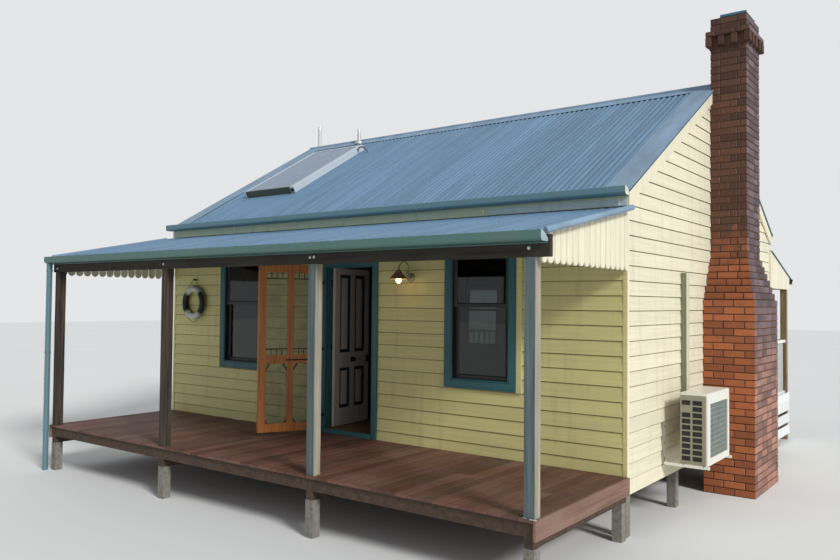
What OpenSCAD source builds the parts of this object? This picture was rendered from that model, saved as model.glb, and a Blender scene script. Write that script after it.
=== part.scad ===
// A small timber cottage: weatherboard walls on stumps, a steep gable roof of
// corrugated iron, an open front verandah, a narrow rear verandah and an outside brick chimney.
// The origin is at the ground in the middle of the house, +X to the right, +Y to the back, +Z up.

/* [House] */
// Length over the weatherboards, from gable to gable
house_len = 7300; // [6800:50:8200]
// Depth over the weatherboards, from front to back
house_depth = 5900; // [5600:50:6600]
// Height of the verandah deck over the lowest ground
deck_h = 600; // [560:10:800]
// Step from the verandah deck up to the floor of the house
floor_step = 55; // [45:5:80]
// Thickness of the weatherboard cladding
clad_t = 22; // [18:1:28]
// Thickness of the framed wall behind the weatherboards
wall_t = 78; // [70:1:110]
// Height of the side walls over the floor
wall_h = 2635; // [2600:5:2660]
// Drop of the gable weatherboards under the deck
skirt_drop = 180; // [150:5:190]
// Visible width of a corner board
corner_w = 48; // [40:1:70]

/* [Main roof] */
// Pitch of the main roof in degrees
roof_pitch = 30; // [28:0.5:32]
// Height of the roof surface over the deck, at the face of the front wall
eave_rise = 2830; // [2815:5:2860]
// Depth of a corrugated sheet, measured square to the roof
sheet_t = 20; // [16:1:24]
// Depth of a roof batten
batten_d = 38; // [30:1:45]
// Width of a roof batten
batten_w = 70; // [50:1:90]
// Depth of a rafter
rafter_d = 100; // [90:1:120]
// Width of a rafter
rafter_w = 45; // [38:1:60]
// Overhang of the sheets past the gable weatherboards
verge_over = 40; // [35:1:60]
// Overhang of the sheets past the side walls, into the gutter
eave_over = 50; // [40:1:70]
// Depth of a barge board, measured square to the roof
barge_d = 128; // [110:1:130]
// Thickness of the barge boards and the eave fascias
barge_t = 25; // [20:1:32]
// Width of the flat flashing along each gable edge of the roof
flashing_w = 300; // [200:5:400]
// Thickness of the flat flashing and the ridge cap
flashing_t = 4; // [3:0.5:6]
// Width of each wing of the ridge cap
cap_wing = 170; // [140:5:200]
// Radius of the roll on the ridge cap
cap_roll_r = 24; // [18:1:32]

/* [Gutters] */
// Width of a gutter
gutter_w = 118; // [100:1:135]
// Height of the front of a gutter
gutter_h = 90; // [80:1:110]
// Height of the back of a gutter
gutter_back_h = 26; // [20:1:27]
// Thickness of the gutter metal, with its beads
gutter_t = 5; // [4:0.5:8]
// Radius of the downpipe
pipe_r = 38; // [32:1:45]

/* [Verandah] */
// Depth of the front deck
deck_depth = 1910; // [1800:10:2200]
// Depth of the rear deck
rear_depth = 1320; // [1200:10:1500]
// Thickness of the deck boards
board_t = 25; // [20:1:32]
// Height of the board along the ends of the deck
rim_h = 170; // [150:5:180]
// Side of a square verandah post
post_w = 100; // [90:1:115]
// Height of the underside of the front beam over the deck
post_h = 2050; // [2020:5:2080]
// Depth of the front beam
beam_d = 130; // [120:1:135]
// Width of a verandah beam
beam_w = 50; // [45:1:100]
// Pitch of the front verandah roof in degrees
front_pitch = 11.5; // [11:0.1:12]
// Height of the verandah sheets over the deck, where they meet the front wall
front_rise = 2650; // [2640:1:2660]
// Pitch of the rear verandah roof in degrees
rear_pitch = 16; // [15:0.1:17]
// Height of the rear verandah sheets over the deck, where they meet the rear wall
rear_rise = 2570; // [2560:1:2600]
// Reach of the rear verandah sheets past the rear deck
rear_reach = 170; // [150:5:190]
// Overhang of the rear verandah sheets past the gables
rear_over = 45; // [40:1:75]
// Height over the deck of the lower edge of the boards that close the rear verandah's ends
rear_infill_h = 1960; // [1900:10:2000]
// Depth of a verandah rafter
v_rafter_d = 90; // [80:1:95]
// Overhang of the verandah sheets past the gables
v_over = 75; // [60:1:100]
// Pitch of the upright boards that fill the verandah ends
infill_pitch = 114; // [100:1:130]
// Height over the deck of the rounded tips of the infill boards
infill_z = 2008; // [1990:1:2040]

/* [Doors] */
// Middle of the front doorway, along the front wall
door_x = -15; // [-100:5:100]
// Clear width of a doorway, between its jambs
door_w = 780; // [760:5:900]
// Clear height of a doorway, over the floor
door_h = 2075; // [2040:5:2100]
// Thickness of a door leaf
leaf_t = 40; // [35:1:45]
// Angle at which the front door stands open
door_open = 96; // [80:1:100]
// Angle at which the screen door stands open
screen_open = 118; // [95:1:130]
// Thickness of the screen door
screen_t = 35; // [30:1:40]
// Cover of the screen door over the doorway, each side
screen_lap = 20; // [10:1:30]
// Middle of the rear doorway, along the rear wall
rear_door_x = 1300; // [1000:10:1500]

/* [Windows] */
// Middle of the left front window
left_win_x = -2050; // [-2150:10:-1950]
// Middle of the right front window
right_win_x = 1940; // [1850:10:2000]
// Middle of the rear window
rear_win_x = -1700; // [-2000:10:-1500]
// Width of the window between its jambs
win_w = 730; // [650:5:800]
// Height of the window sill over the deck
sill_h = 830; // [800:5:900]
// Height of a front window between sill and head
win_h = 1550; // [1500:5:1560]
// Height of the rear window between sill and head
rear_win_h = 1440; // [1300:5:1450]
// Height of the meeting rail of a front window over its sill
meeting_h = 830; // [780:5:880]
// Width of a window architrave
arch_w = 105; // [90:1:110]
// Width of a door architrave
door_arch_w = 90; // [80:1:100]
// Thickness of the architraves
arch_t = 20; // [16:1:25]
// Thickness of the jambs
jamb_t = 30; // [25:1:38]
// Thickness of a window sash
sash_t = 34; // [30:1:36]
// Face width of the sash rails and stiles
sash_w = 48; // [40:1:60]

/* [Chimney] */
// Depth of the chimney stack, out from the wall
stack_x = 440; // [400:10:480]
// Width of the chimney stack, along the wall
stack_y = 627; // [560:1:680]
// Middle of the chimney stack, measured back from the ridge
stack_mid = 107; // [60:1:140]
// Depth of the chimney base, out from the wall
base_x = 600; // [560:10:680]
// Width of the chimney base, along the wall
base_y = 1177; // [1100:1:1300]
// Middle of the chimney base, measured back from the ridge
base_mid = 61; // [0:1:90]
// Height of the full-width base over the deck
base_h = 1750; // [1600:10:1900]
// Height of the top of the stack over the deck
stack_h = 5330; // [5100:10:5600]
// Height of one course of bricks with its joint
course_h = 86; // [80:1:92]
// How far the corbel courses stand out
corbel = 50; // [40:1:60]
// Face width of a dentil brick
dentil_w = 70; // [60:1:80]

/* [Fixtures] */
// Width of the heat pump, along the wall
ac_w = 813; // [760:1:860]
// Depth of the heat pump
ac_d = 289; // [260:1:320]
// Height of the heat pump
ac_h = 755; // [650:1:780]
// Space between the weatherboards and the heat pump
ac_off = 185; // [150:5:220]
// Outer radius of the life ring
ring_r = 249; // [240:1:290]
// Radius of the life ring's own section
ring_tube_r = 46; // [44:1:62]
// Outer radius of the lamp shade
shade_r = 107; // [90:1:120]
// Length of the flat roof panel, along the slope
panel_len = 1800; // [1700:10:1900]
// Width of the flat roof panel
panel_w = 1120; // [1000:10:1200]
// Thickness of the flat roof panel
panel_t = 95; // [70:1:110]

/* [Hidden] */
$fn = 48;

// Small clearances between pieces that are not fused
joint_gap = 2;
lay_gap = 0.3;
swing_gap = 5;
pin_gap = 0.3;

// Half sizes, and the faces of the wall frame
hx = house_len / 2;
hy = house_depth / 2;
fx = hx - clad_t;
fy = hy - clad_t;
in_x = fx - wall_t;
in_y = fy - wall_t;
floor_z = deck_h + floor_step;
wall_top = floor_z + wall_h;
clad_bottom = deck_h - skirt_drop;

// Floor structure, from the floorboards down
floor_t = 25;
joist_h = 90;
joist_w = 45;
bearer_h = 90;
bearer_w = 75;
stump_w = 100;
stump_rows = 5;
joist_count = 15;
joist_top = floor_z - floor_t;
bearer_top = joist_top - joist_h;
stump_top = bearer_top - bearer_h;
deck_joist_h = 120;
deck_joist_top = deck_h - board_t;
deck_bearer_top = deck_joist_top - deck_joist_h;
deck_bearer_h = 90;
deck_stump_top = deck_bearer_top - deck_bearer_h;
deck_joists = 5;
front_edge = -hy - deck_depth;
rear_edge = hy + rear_depth;

// Posts: the front faces stand a little behind the edge of the deck
post_back = 25;
post_y = front_edge + post_back;
post_count = 4;
post_first = -hx;
post_step = (house_len - post_w) / (post_count - 1);
rear_post_y = rear_edge - post_back - post_w;

// Main roof heights
function down(t) = t / cos(roof_pitch);
function roof_z(y) = deck_h + eave_rise + (hy - abs(y)) * tan(roof_pitch);
ridge_z = roof_z(0);
eave_y = hy + eave_over;
verge_x = hx + verge_over;
rafter_top = sheet_t + batten_d;
rafter_bottom = rafter_top + rafter_d;
rafter_pairs = 9;
battens = 5;
slope_len = eave_y / cos(roof_pitch);
fascia_t = 20;
fascia_h = 125;
fascia_top = deck_h + eave_rise - 55;
gutter_top = deck_h + eave_rise + 10;
gutter_y = hy + fascia_t;
gutter_right = hx + 30;
gutter_left = -hx - 50;
clad_top = roof_z(hy) - down(rafter_bottom) - joint_gap;
corner_top = roof_z(hy) - down(sheet_t + barge_d);

// Front verandah roof: heights fall from the front wall
function front_z(y) = deck_h + front_rise + (y + hy) * tan(front_pitch);
function front_down(t) = t / cos(front_pitch);
front_eave = front_edge - 20;
beam_z = deck_h + post_h;
ledger_h = 90;
ledger_w = 45;
v_rafters = 9;
v_gutter_y = -post_y;
v_gutter_top = front_z(front_eave);
v_gutter_right = hx + 110;
v_gutter_left = -hx - 90;
beam_right = hx + 127;
beam_left = -hx - 50;
roll_r = 28;
roll_stop = 90;
beam_block = 60;

// Rear verandah roof: heights fall from the rear wall
function rear_z(y) = deck_h + rear_rise - (y - hy) * tan(rear_pitch);
function rear_down(t) = t / cos(rear_pitch);
rear_eave = rear_edge + rear_reach;
rear_gutter_y = rear_eave - 45;
rear_beam_d = 130;
rear_beam_w = 90;
rear_beam_z = rear_z(rear_post_y + post_w) - rear_down(sheet_t + batten_d + v_rafter_d / 2) - rear_beam_d;
rear_gutter_top = rear_z(rear_eave);
rear_infill_z = deck_h + rear_infill_h;

// Windows
sill_z = deck_h + sill_h;
head_z = sill_z + win_h;
meeting_z = sill_z + meeting_h;
rear_head_z = sill_z + rear_win_h;
rear_meeting_z = sill_z + rear_win_h / 2;
glass_t = 5;
sash_gap = 1;
sill_proud = 18;
sill_t = 32;

// Doors
stop_t = 12;
stop_w = 30;
door_jamb_t = 35;
door_left = door_x - door_w / 2;
door_right = door_x + door_w / 2;
door_head = floor_z + door_h;
leaf_left = door_left + swing_gap;
strike_gap = 7;
leaf_w = door_w - swing_gap - strike_gap;
leaf_z = floor_z + 8;
leaf_h = door_h - 8 - 6;
knuckle_r = 6;
knuckle_h = 45;
plate_t = 4;
plate_w = 20;
hinge_count = 3;
hinge_low = 200;
hinge_x = leaf_left - swing_gap / 2;
hinge_y = -in_y + knuckle_r;
panel_sink = 10;
stile_w = 110;
muntin_w = 115;
lock_rail_z = 750;
lock_rail_h = 205;
top_rail_h = 85;
bottom_rail_h = 230;
knob_r = 28;
knob_out = 55;
knob_x = 300;

// Screen door
screen_w = door_w + 2 * screen_lap;
screen_back = -hy - arch_t - 8;
screen_front = screen_back - screen_t;
screen_left = door_left - screen_lap;
screen_z = floor_z;
screen_h = door_h + 20;
screen_gap = 3;
screen_pin_x = screen_left - screen_gap;
screen_pin_y = screen_front - knuckle_r;
screen_stile = 95;
screen_muntin = 78;
screen_top = 100;
screen_mid_z = 850;
screen_mid_h = 103;
screen_foot_h = 105;
spindle_row = 80;
spindle_r = 6;
spindles = 3;
mesh_t = 2;
brace = 130;
brace_tip = 6;

// Chimney
stack_y0 = stack_mid - stack_y / 2;
stack_y1 = stack_mid + stack_y / 2;
base_y0 = base_mid - base_y / 2;
base_y1 = base_mid + base_y / 2;
shoulder_steps = 6;
stack_top = deck_h + stack_h;
corbel_z = stack_top - 235;
corbel_h = 65;
dentil_h = 125;
dentils_x = 4;
dentils_y = 5;
cap_h = 40;
cap_in = 120;

// Fixtures on the walls
ac_y = -1968;
ac_z = deck_h;
duct_w = 80;
duct_d = 70;
duct_y = -1357;
duct_low = 300;
duct_high = 2050;
lamp_x = 972;
lamp_z = 2060;
lamp_drop = 85;
lamp_plate_r = 55;
plate_out = 12;
shade_h = 105;
shade_t = 4;
shade_top_r = 22;
bulb_r = 32;
arm_r = 9;
arm_bend = 100;
ring_x = -3100;
ring_z = 1655;
hook_up = 340;
rope_r = 5;
peg_r = 13;
rope_sides = 8;
// The grab rope's route round the ring: steps to the right and up from the ring's centre
rope_route = [[180, 180], [201, 158], [219, 133], [234, 106], [247, 77], [257, 47], [265, 16], [272, -16],
    [273, -50], [268, -83], [253, -114], [231, -139], [204, -160], [180, -180], [152, -211], [125, -238],
    [97, -258], [69, -274], [42, -285], [14, -290], [-14, -290], [-42, -285], [-69, -274], [-97, -258],
    [-125, -238], [-152, -211], [-180, -180], [-204, -160], [-230, -139], [-252, -113], [-266, -83],
    [-272, -50], [-270, -16], [-265, 16], [-256, 47], [-247, 77], [-234, 106], [-219, 133], [-201, 158],
    [-180, 180]];
panel_x = -3020;
panel_up = 995;
vent_r = 30;
vent_boot = 18;
vent_y = 95;
left_vent_x = -3550;
left_vent_h = 4945;
right_vent_x = -2400;
right_vent_h = 4718;
curl_r = 100;
curl_pipe_r = 12;
curl_up = 2640;

// Basic shapes
module block(x0, x1, y0, y1, z0, z1) {
    translate([x0, y0, z0]) cube([x1 - x0, y1 - y0, z1 - z0]);
}

module along_x(x0, x1) {
    translate([x0, 0, 0]) rotate([90, 0, 90]) linear_extrude(height = x1 - x0) children();
}

module along_y(y0, y1) {
    translate([0, y1, 0]) rotate([90, 0, 0]) linear_extrude(height = y1 - y0) children();
}

// A layer of the main roof between two depths under its surface: side -1 is the front slope
module roof_layer(side, x0, x1, d0, d1, y0, y1) {
    along_x(x0, x1) polygon([
        [side * y0, roof_z(y0) - down(d0)], [side * y1, roof_z(y1) - down(d0)],
        [side * y1, roof_z(y1) - down(d1)], [side * y0, roof_z(y0) - down(d1)]]);
}

module front_layer(x0, x1, d0, d1, y0, y1) {
    along_x(x0, x1) polygon([
        [y0, front_z(y0) - front_down(d0)], [y1, front_z(y1) - front_down(d0)],
        [y1, front_z(y1) - front_down(d1)], [y0, front_z(y0) - front_down(d1)]]);
}

module rear_layer(x0, x1, d0, d1, y0, y1) {
    along_x(x0, x1) polygon([
        [y0, rear_z(y0) - rear_down(d0)], [y1, rear_z(y1) - rear_down(d0)],
        [y1, rear_z(y1) - rear_down(d1)], [y0, rear_z(y0) - rear_down(d1)]]);
}

module stack_space() {
    block(hx, hx + stack_x, stack_y0, stack_y1, 0, stack_top);
}

function post_x(i) = post_first + i * post_step;
function spread(i, n, a, b) = a + i * (b - a) / (n - 1);

// Under the floor
module stumps() {
    edge_x = fx - stump_w / 2;
    edge_y = fy - stump_w / 2;
    color("dimgray") {
        for (i = [0 : stump_rows - 1], j = [0 : stump_rows - 1])
            translate([spread(i, stump_rows, -edge_x, edge_x) - stump_w / 2,
                spread(j, stump_rows, -edge_y, edge_y) - stump_w / 2, 0])
                cube([stump_w, stump_w, stump_top]);
        for (i = [0 : post_count - 1]) {
            translate([post_x(i), post_y, 0]) cube([post_w, stump_w, deck_stump_top]);
            translate([post_x(i), -hy - stump_w - joist_w, 0]) cube([post_w, stump_w, deck_stump_top]);
            translate([post_x(i), hy + joist_w, 0]) cube([post_w, stump_w, deck_stump_top]);
        }
    }
}

module bearers() {
    edge_y = fy - stump_w / 2;
    color("sienna") {
        for (j = [0 : stump_rows - 1])
            translate([-fx, spread(j, stump_rows, -edge_y, edge_y) - bearer_w / 2, stump_top])
                cube([2 * fx, bearer_w, bearer_h]);
        for (i = [0 : post_count - 1]) {
            x0 = post_x(i) + (post_w - bearer_w) / 2;
            block(x0, x0 + bearer_w, post_y, -hy - joint_gap, deck_stump_top, deck_bearer_top);
            block(x0, x0 + bearer_w, hy + joint_gap, rear_post_y, deck_stump_top, deck_bearer_top);
        }
    }
}

module joists() {
    color("peru") {
        for (i = [0 : joist_count - 1]) {
            x0 = spread(i, joist_count, -fx, fx - joist_w);
            block(x0, x0 + joist_w, -fy, fy, bearer_top, joist_top);
        }
        for (j = [0 : deck_joists - 1]) {
            y0 = spread(j, deck_joists, post_y, -hy - joist_w - joint_gap);
            block(-hx, hx, y0, y0 + joist_w, deck_bearer_top, deck_joist_top);
            y1 = spread(j, deck_joists, hy + joint_gap, rear_post_y - joist_w - joint_gap);
            block(-hx, hx, y1, y1 + joist_w, deck_bearer_top, deck_joist_top);
        }
    }
}

module house_floor() {
    color("burlywood") block(-fx, fx, -fy, fy, joist_top, floor_z);
}

// Walls: a framed slab with openings cut right through
module window_hole(x, wall_y, head) {
    block(x - win_w / 2 - jamb_t, x + win_w / 2 + jamb_t, wall_y - wall_t - clad_t,
        wall_y + wall_t + clad_t, sill_z - jamb_t, head + jamb_t);
}

module front_slab(x0, x1, z0) {
    block(x0, x1, -fy, -in_y, z0, wall_top);
}

module front_wall_left() {
    color("wheat") difference() {
        front_slab(-in_x, door_left - door_jamb_t, floor_z);
        window_hole(left_win_x, -fy, head_z);
    }
}

module front_wall_right() {
    color("wheat") difference() {
        front_slab(door_right + door_jamb_t, in_x, floor_z);
        window_hole(right_win_x, -fy, head_z);
    }
}

module front_wall_over_door() {
    color("wheat") front_slab(door_left - door_jamb_t, door_right + door_jamb_t, door_head + door_jamb_t);
}

module rear_wall() {
    rear_left = rear_door_x - door_w / 2 - door_jamb_t;
    rear_right = rear_door_x + door_w / 2 + door_jamb_t;
    color("wheat") difference() {
        block(-in_x, in_x, in_y, fy, floor_z, wall_top);
        block(rear_left, rear_right, in_y - wall_t, fy + wall_t, floor_z, door_head + door_jamb_t);
        window_hole(rear_win_x, fy, rear_head_z);
    }
}

module gable_slab(x0, x1, z0, depth, half) {
    top = roof_z(half) - down(depth);
    along_x(x0, x1) polygon([[-half, z0], [half, z0], [half, top], [0, ridge_z - down(depth)], [-half, top]]);
}

module right_wall() {
    color("wheat") gable_slab(in_x, fx, floor_z, rafter_bottom, fy);
}

module left_wall() {
    color("wheat") gable_slab(-fx, -in_x, floor_z, rafter_bottom, fy);
}

// Weatherboards, with a corner board closing each corner
module front_weatherboards() {
    color("khaki") difference() {
        block(-hx + corner_w, hx - corner_w, -hy, -fy, deck_h, clad_top);
        block(door_left - door_jamb_t, door_right + door_jamb_t, -hy - clad_t, -in_y, 0,
            door_head + door_jamb_t);
        window_hole(left_win_x, -fy, head_z);
        window_hole(right_win_x, -fy, head_z);
    }
}

module rear_weatherboards() {
    color("khaki") difference() {
        block(-hx + corner_w, hx - corner_w, fy, hy, deck_h, clad_top);
        block(rear_door_x - door_w / 2 - door_jamb_t, rear_door_x + door_w / 2 + door_jamb_t,
            in_y, hy + clad_t, 0, door_head + door_jamb_t);
        window_hole(rear_win_x, fy, rear_head_z);
    }
}

module gable_boards(x0, x1) {
    half = hy - corner_w;
    step_top = roof_z(half) - down(rafter_top);
    along_x(x0, x1) polygon([[-half, clad_bottom], [half, clad_bottom], [half, step_top],
        [0, ridge_z - down(rafter_top)], [-half, step_top]]);
}

module right_weatherboards() {
    color("cornsilk") gable_boards(fx, hx);
}

module left_weatherboards() {
    color("cornsilk") gable_boards(-hx, -fx);
}

module corner_profile(sx, sy) {
    polygon([[sx * hx, sy * hy], [sx * (hx - corner_w), sy * hy], [sx * (hx - corner_w), sy * fy],
        [sx * fx, sy * fy], [sx * fx, sy * (hy - corner_w)], [sx * hx, sy * (hy - corner_w)]]);
}

module corner_boards() {
    color("ivory") for (sx = [-1, 1], sy = [-1, 1])
        translate([0, 0, clad_bottom])
            linear_extrude(height = corner_top - clad_bottom) corner_profile(sx, sy);
}

// Roof frame
module main_rafters() {
    for (i = [0 : rafter_pairs - 1], side = [-1, 1]) {
        x0 = spread(i, rafter_pairs, -fx, fx - rafter_w);
        difference() {
            roof_layer(side, x0, x0 + rafter_w, rafter_top, rafter_bottom, rafter_w / 2, hy);
            block(x0 - joint_gap, x0 + rafter_w + joint_gap, min(side * in_y, side * hy),
                max(side * in_y, side * hy), floor_z, wall_top);
        }
    }
}

module front_rafters() {
    for (i = [0 : v_rafters - 1]) {
        x0 = spread(i, v_rafters, -hx + fascia_t, hx - fascia_t - rafter_w);
        difference() {
            front_layer(x0, x0 + rafter_w, sheet_t + batten_d, sheet_t + batten_d + v_rafter_d,
                post_y, -hy - ledger_w - joint_gap / 4);
            block(x0 - joint_gap, x0 + rafter_w + joint_gap, post_y - post_w, post_y + beam_w, 0,
                beam_z + beam_d);
        }
    }
}

module rear_rafters() {
    for (i = [0 : v_rafters - 1]) {
        x0 = spread(i, v_rafters, -hx + fascia_t, hx - fascia_t - rafter_w);
        difference() {
            rear_layer(x0, x0 + rafter_w, sheet_t + batten_d, sheet_t + batten_d + v_rafter_d,
                hy + ledger_w + joint_gap / 4, rear_gutter_y);
            block(x0 - joint_gap, x0 + rafter_w + joint_gap, rear_post_y + post_w - rear_beam_w,
                rear_post_y + post_w, 0, rear_beam_z + rear_beam_d);
        }
    }
}

module rafters() {
    color("tan") {
        main_rafters();
        front_rafters();
        rear_rafters();
    }
}

module roof_battens() {
    half = batten_w * cos(roof_pitch) / 2;
    color("sandybrown") {
        for (i = [0 : battens - 1], side = [-1, 1]) {
            mid = spread(i, battens, 2 * half, hy - half);
            roof_layer(side, -hx, hx, sheet_t + lay_gap, rafter_top - lay_gap, mid - half, mid + half);
        }
        block(-fx, fx, -rafter_w / 2 + joint_gap / 4, rafter_w / 2 - joint_gap / 4,
            ridge_z - down(rafter_bottom), ridge_z - down(rafter_top) - rafter_w / 2);
        for (y0 = [post_y, (post_y - hy - batten_w) / 2, -hy - batten_w])
            front_layer(-hx, hx, sheet_t + lay_gap, sheet_t + batten_d - lay_gap,
                y0, y0 + batten_w);
        for (y0 = [hy, (hy + rear_post_y) / 2, rear_post_y + post_w - batten_w])
            rear_layer(-hx + fascia_t, hx - fascia_t, sheet_t + lay_gap, sheet_t + batten_d - lay_gap,
                y0, y0 + batten_w);
    }
}

// Roof covering
module slope_sheets(side) {
    difference() {
        roof_layer(side, -verge_x, verge_x, 0, sheet_t, 0, eave_y);
        stack_space();
    }
}

module front_roof_sheets() {
    color("lightslategray") slope_sheets(-1);
}

module rear_roof_sheets() {
    color("lightslategray") slope_sheets(1);
}

module ridge_cap() {
    color("slategray") difference() {
        union() {
            roof_layer(-1, -verge_x, verge_x, -flashing_t, -lay_gap, 0, cap_wing);
            roof_layer(1, -verge_x, verge_x, -flashing_t, -lay_gap, 0, cap_wing);
            difference() {
                translate([-verge_x, 0, ridge_z]) rotate([0, 90, 0])
                    cylinder(r = cap_roll_r, h = 2 * verge_x);
                roof_layer(-1, -verge_x - joint_gap, verge_x + joint_gap, -lay_gap, rafter_top, 0, cap_wing);
                roof_layer(1, -verge_x - joint_gap, verge_x + joint_gap, -lay_gap, rafter_top, 0, cap_wing);
            }
        }
        stack_space();
    }
}

module verge_flashings() {
    color("lightsteelblue") {
        for (side = [-1, 1], end = [-1, 1])
            difference() {
                roof_layer(side, min(end * verge_x, end * (verge_x - flashing_w)),
                    max(end * verge_x, end * (verge_x - flashing_w)), -flashing_t, -lay_gap,
                    cap_wing + joint_gap, eave_y);
                stack_space();
            }
        for (end = [-1, 1])
            difference() {
                translate([end * (hx + v_over + roll_r / 4), -hy - roll_stop,
                    front_z(-hy - roll_stop) - sheet_t / 2]) rotate([90 + front_pitch, 0, 0])
                    cylinder(r = roll_r, h = (-hy - roll_stop - post_y) / cos(front_pitch));
                block(min(0, end * (hx + v_over)), max(0, end * (hx + v_over)),
                    front_eave - post_w, -hy, 0, ridge_z);
            }
    }
}

module barge_boards() {
    color("ivory") for (side = [-1, 1], end = [-1, 1])
        difference() {
            roof_layer(side, min(end * hx, end * (hx + barge_t)), max(end * hx, end * (hx + barge_t)),
                sheet_t + lay_gap, sheet_t + barge_d, joint_gap / 2, gutter_y);
            stack_space();
        }
}

module eave_fascias() {
    color("cadetblue") for (side = [-1, 1])
        block(-hx, hx, min(side * hy, side * gutter_y), max(side * hy, side * gutter_y),
            fascia_top - fascia_h, fascia_top);
}

// A gutter runs along x behind y = back, with its outer side towards +y
module gutter(x0, x1, back, top) {
    bottom = top - gutter_h;
    difference() {
        block(x0, x1, back, back + gutter_w, bottom, top);
        block(x0 + gutter_t, x1 - gutter_t, back + gutter_t, back + gutter_w - gutter_t,
            bottom + gutter_t, top + gutter_t);
        block(x0 - gutter_t, x1 + gutter_t, back - gutter_t, back + gutter_t, bottom + gutter_back_h,
            top + gutter_t);
        block(x0 - gutter_t, x1 + gutter_t, back - gutter_t, back + eave_over,
            bottom + gutter_back_h, top + gutter_t);
    }
}

module main_gutters() {
    color("cadetblue") {
        mirror([0, 1, 0]) gutter(gutter_left, gutter_right, gutter_y, gutter_top);
        gutter(gutter_left, gutter_right, gutter_y, gutter_top);
    }
}

// Chimney
module corbel_ring(z0, z1) {
    block(hx - corbel, hx + stack_x + corbel, stack_y0 - corbel, stack_y1 + corbel, z0, z1);
}

module dentil_bricks() {
    z0 = corbel_z - dentil_h;
    for (i = [0 : dentils_x - 1]) {
        x0 = spread(i, dentils_x, hx - corbel, hx + stack_x + corbel - dentil_w);
        block(x0, x0 + dentil_w, stack_y0 - corbel, stack_y1 + corbel, z0, corbel_z);
    }
    for (j = [0 : dentils_y - 1]) {
        y0 = spread(j, dentils_y, stack_y0 - corbel, stack_y1 + corbel - dentil_w);
        block(hx - corbel, hx + stack_x + corbel, y0, y0 + dentil_w, z0, corbel_z);
    }
}

module chimney() {
    base_top = deck_h + base_h;
    color("firebrick") union() {
        block(hx, hx + base_x, base_y0, base_y1, 0, base_top);
        for (k = [1 : shoulder_steps]) {
            t = k / (shoulder_steps + 1);
            block(hx, hx + base_x + (stack_x - base_x) * t, base_y0 + (stack_y0 - base_y0) * t,
                base_y1 + (stack_y1 - base_y1) * t, base_top - course_h, base_top + k * course_h);
        }
        block(hx, hx + stack_x, stack_y0, stack_y1, base_top, stack_top);
        corbel_ring(corbel_z, corbel_z + corbel_h);
        dentil_bricks();
    }
}

module chimney_cap() {
    color("steelblue") block(hx + cap_in, hx + stack_x + joint_gap, stack_y0 - joint_gap,
        stack_y0 + stack_y * 2 / 3, stack_top, stack_top + cap_h);
}

module on_front_slope() {
    translate([0, -hy, roof_z(hy)]) rotate([roof_pitch, 0, 0]) children();
}

module roof_panel() {
    color("gray") on_front_slope() union() {
        block(panel_x, panel_x + panel_w, panel_up, panel_up + panel_len, lay_gap, panel_t);
        translate([panel_x + panel_w + curl_r - curl_pipe_r, curl_up, lay_gap]) rotate([90, 0, 0])
            rotate_extrude(angle = 180) translate([curl_r, 0]) circle(r = curl_pipe_r);
    }
}

module vent(x, y, top) {
    difference() {
        union() {
            translate([x, y, roof_z(y) - vent_r]) cylinder(r = vent_r, h = top - roof_z(y) + vent_r);
            translate([x, y, roof_z(y) - vent_r]) cylinder(r = vent_r + vent_boot, h = 2 * vent_r);
        }
        roof_layer(-1, -hx, hx, -flashing_t, rafter_bottom, 0, cap_wing);
        roof_layer(1, -hx, hx, -flashing_t, rafter_bottom, 0, cap_wing);
    }
}

module vent_pipes() {
    color("silver") {
        vent(left_vent_x, vent_y, deck_h + left_vent_h);
        vent(right_vent_x, -vent_y, deck_h + right_vent_h);
    }
}

// Windows: side -1 looks out of the front wall, side 1 out of the rear wall
module window_frame(x, side, head) {
    w = win_w / 2;
    out = hy + arch_t;
    y_a = min(side * in_y, side * hy);
    y_b = max(side * in_y, side * hy);
    a_a = min(side * hy, side * out);
    a_b = max(side * hy, side * out);
    difference() {
        union() {
            block(x - w - jamb_t, x + w + jamb_t, y_a, y_b, sill_z - jamb_t, head + jamb_t);
            block(x - w - arch_w, x + w + arch_w, a_a, a_b, sill_z - arch_w, head + arch_w);
        }
        block(x - w, x + w, -2 * hy, 2 * hy, sill_z, head);
    }
}

module window_frames() {
    color("darkslategray") {
        window_frame(left_win_x, -1, head_z);
        window_frame(right_win_x, -1, head_z);
        window_frame(rear_win_x, 1, rear_head_z);
    }
}

module sash(x, side, z0, z1, out_y) {
    w = win_w / 2;
    y_a = min(side * out_y, side * (out_y - sash_t));
    difference() {
        block(x - w, x + w, y_a, y_a + sash_t, z0, z1);
        block(x - w + sash_w, x + w - sash_w, y_a - sash_t, y_a + 2 * sash_t, z0 + sash_w, z1 - sash_w);
    }
}

module pane(x, side, z0, z1, out_y) {
    w = win_w / 2;
    mid = side * (out_y - sash_t / 2);
    block(x - w + sash_w, x + w - sash_w, mid - glass_t / 2, mid + glass_t / 2, z0 + sash_w, z1 - sash_w);
}

top_sash_y = hy - 12;
low_sash_y = top_sash_y - sash_t - sash_gap;

module both_sashes(x, side, meet, head) {
    sash(x, side, meet - sash_w / 2, head, top_sash_y);
    sash(x, side, sill_z, meet + sash_w / 2, low_sash_y);
}

module both_panes(x, side, meet, head) {
    pane(x, side, meet - sash_w / 2, head, top_sash_y);
    pane(x, side, sill_z, meet + sash_w / 2, low_sash_y);
}

module window_sashes() {
    color("black") {
        both_sashes(left_win_x, -1, meeting_z, head_z);
        both_sashes(right_win_x, -1, meeting_z, head_z);
        both_sashes(rear_win_x, 1, rear_meeting_z, rear_head_z);
    }
}

module window_glass() {
    color("lightcyan", 0.4) {
        both_panes(left_win_x, -1, meeting_z, head_z);
        both_panes(right_win_x, -1, meeting_z, head_z);
        both_panes(rear_win_x, 1, rear_meeting_z, rear_head_z);
    }
}

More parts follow.
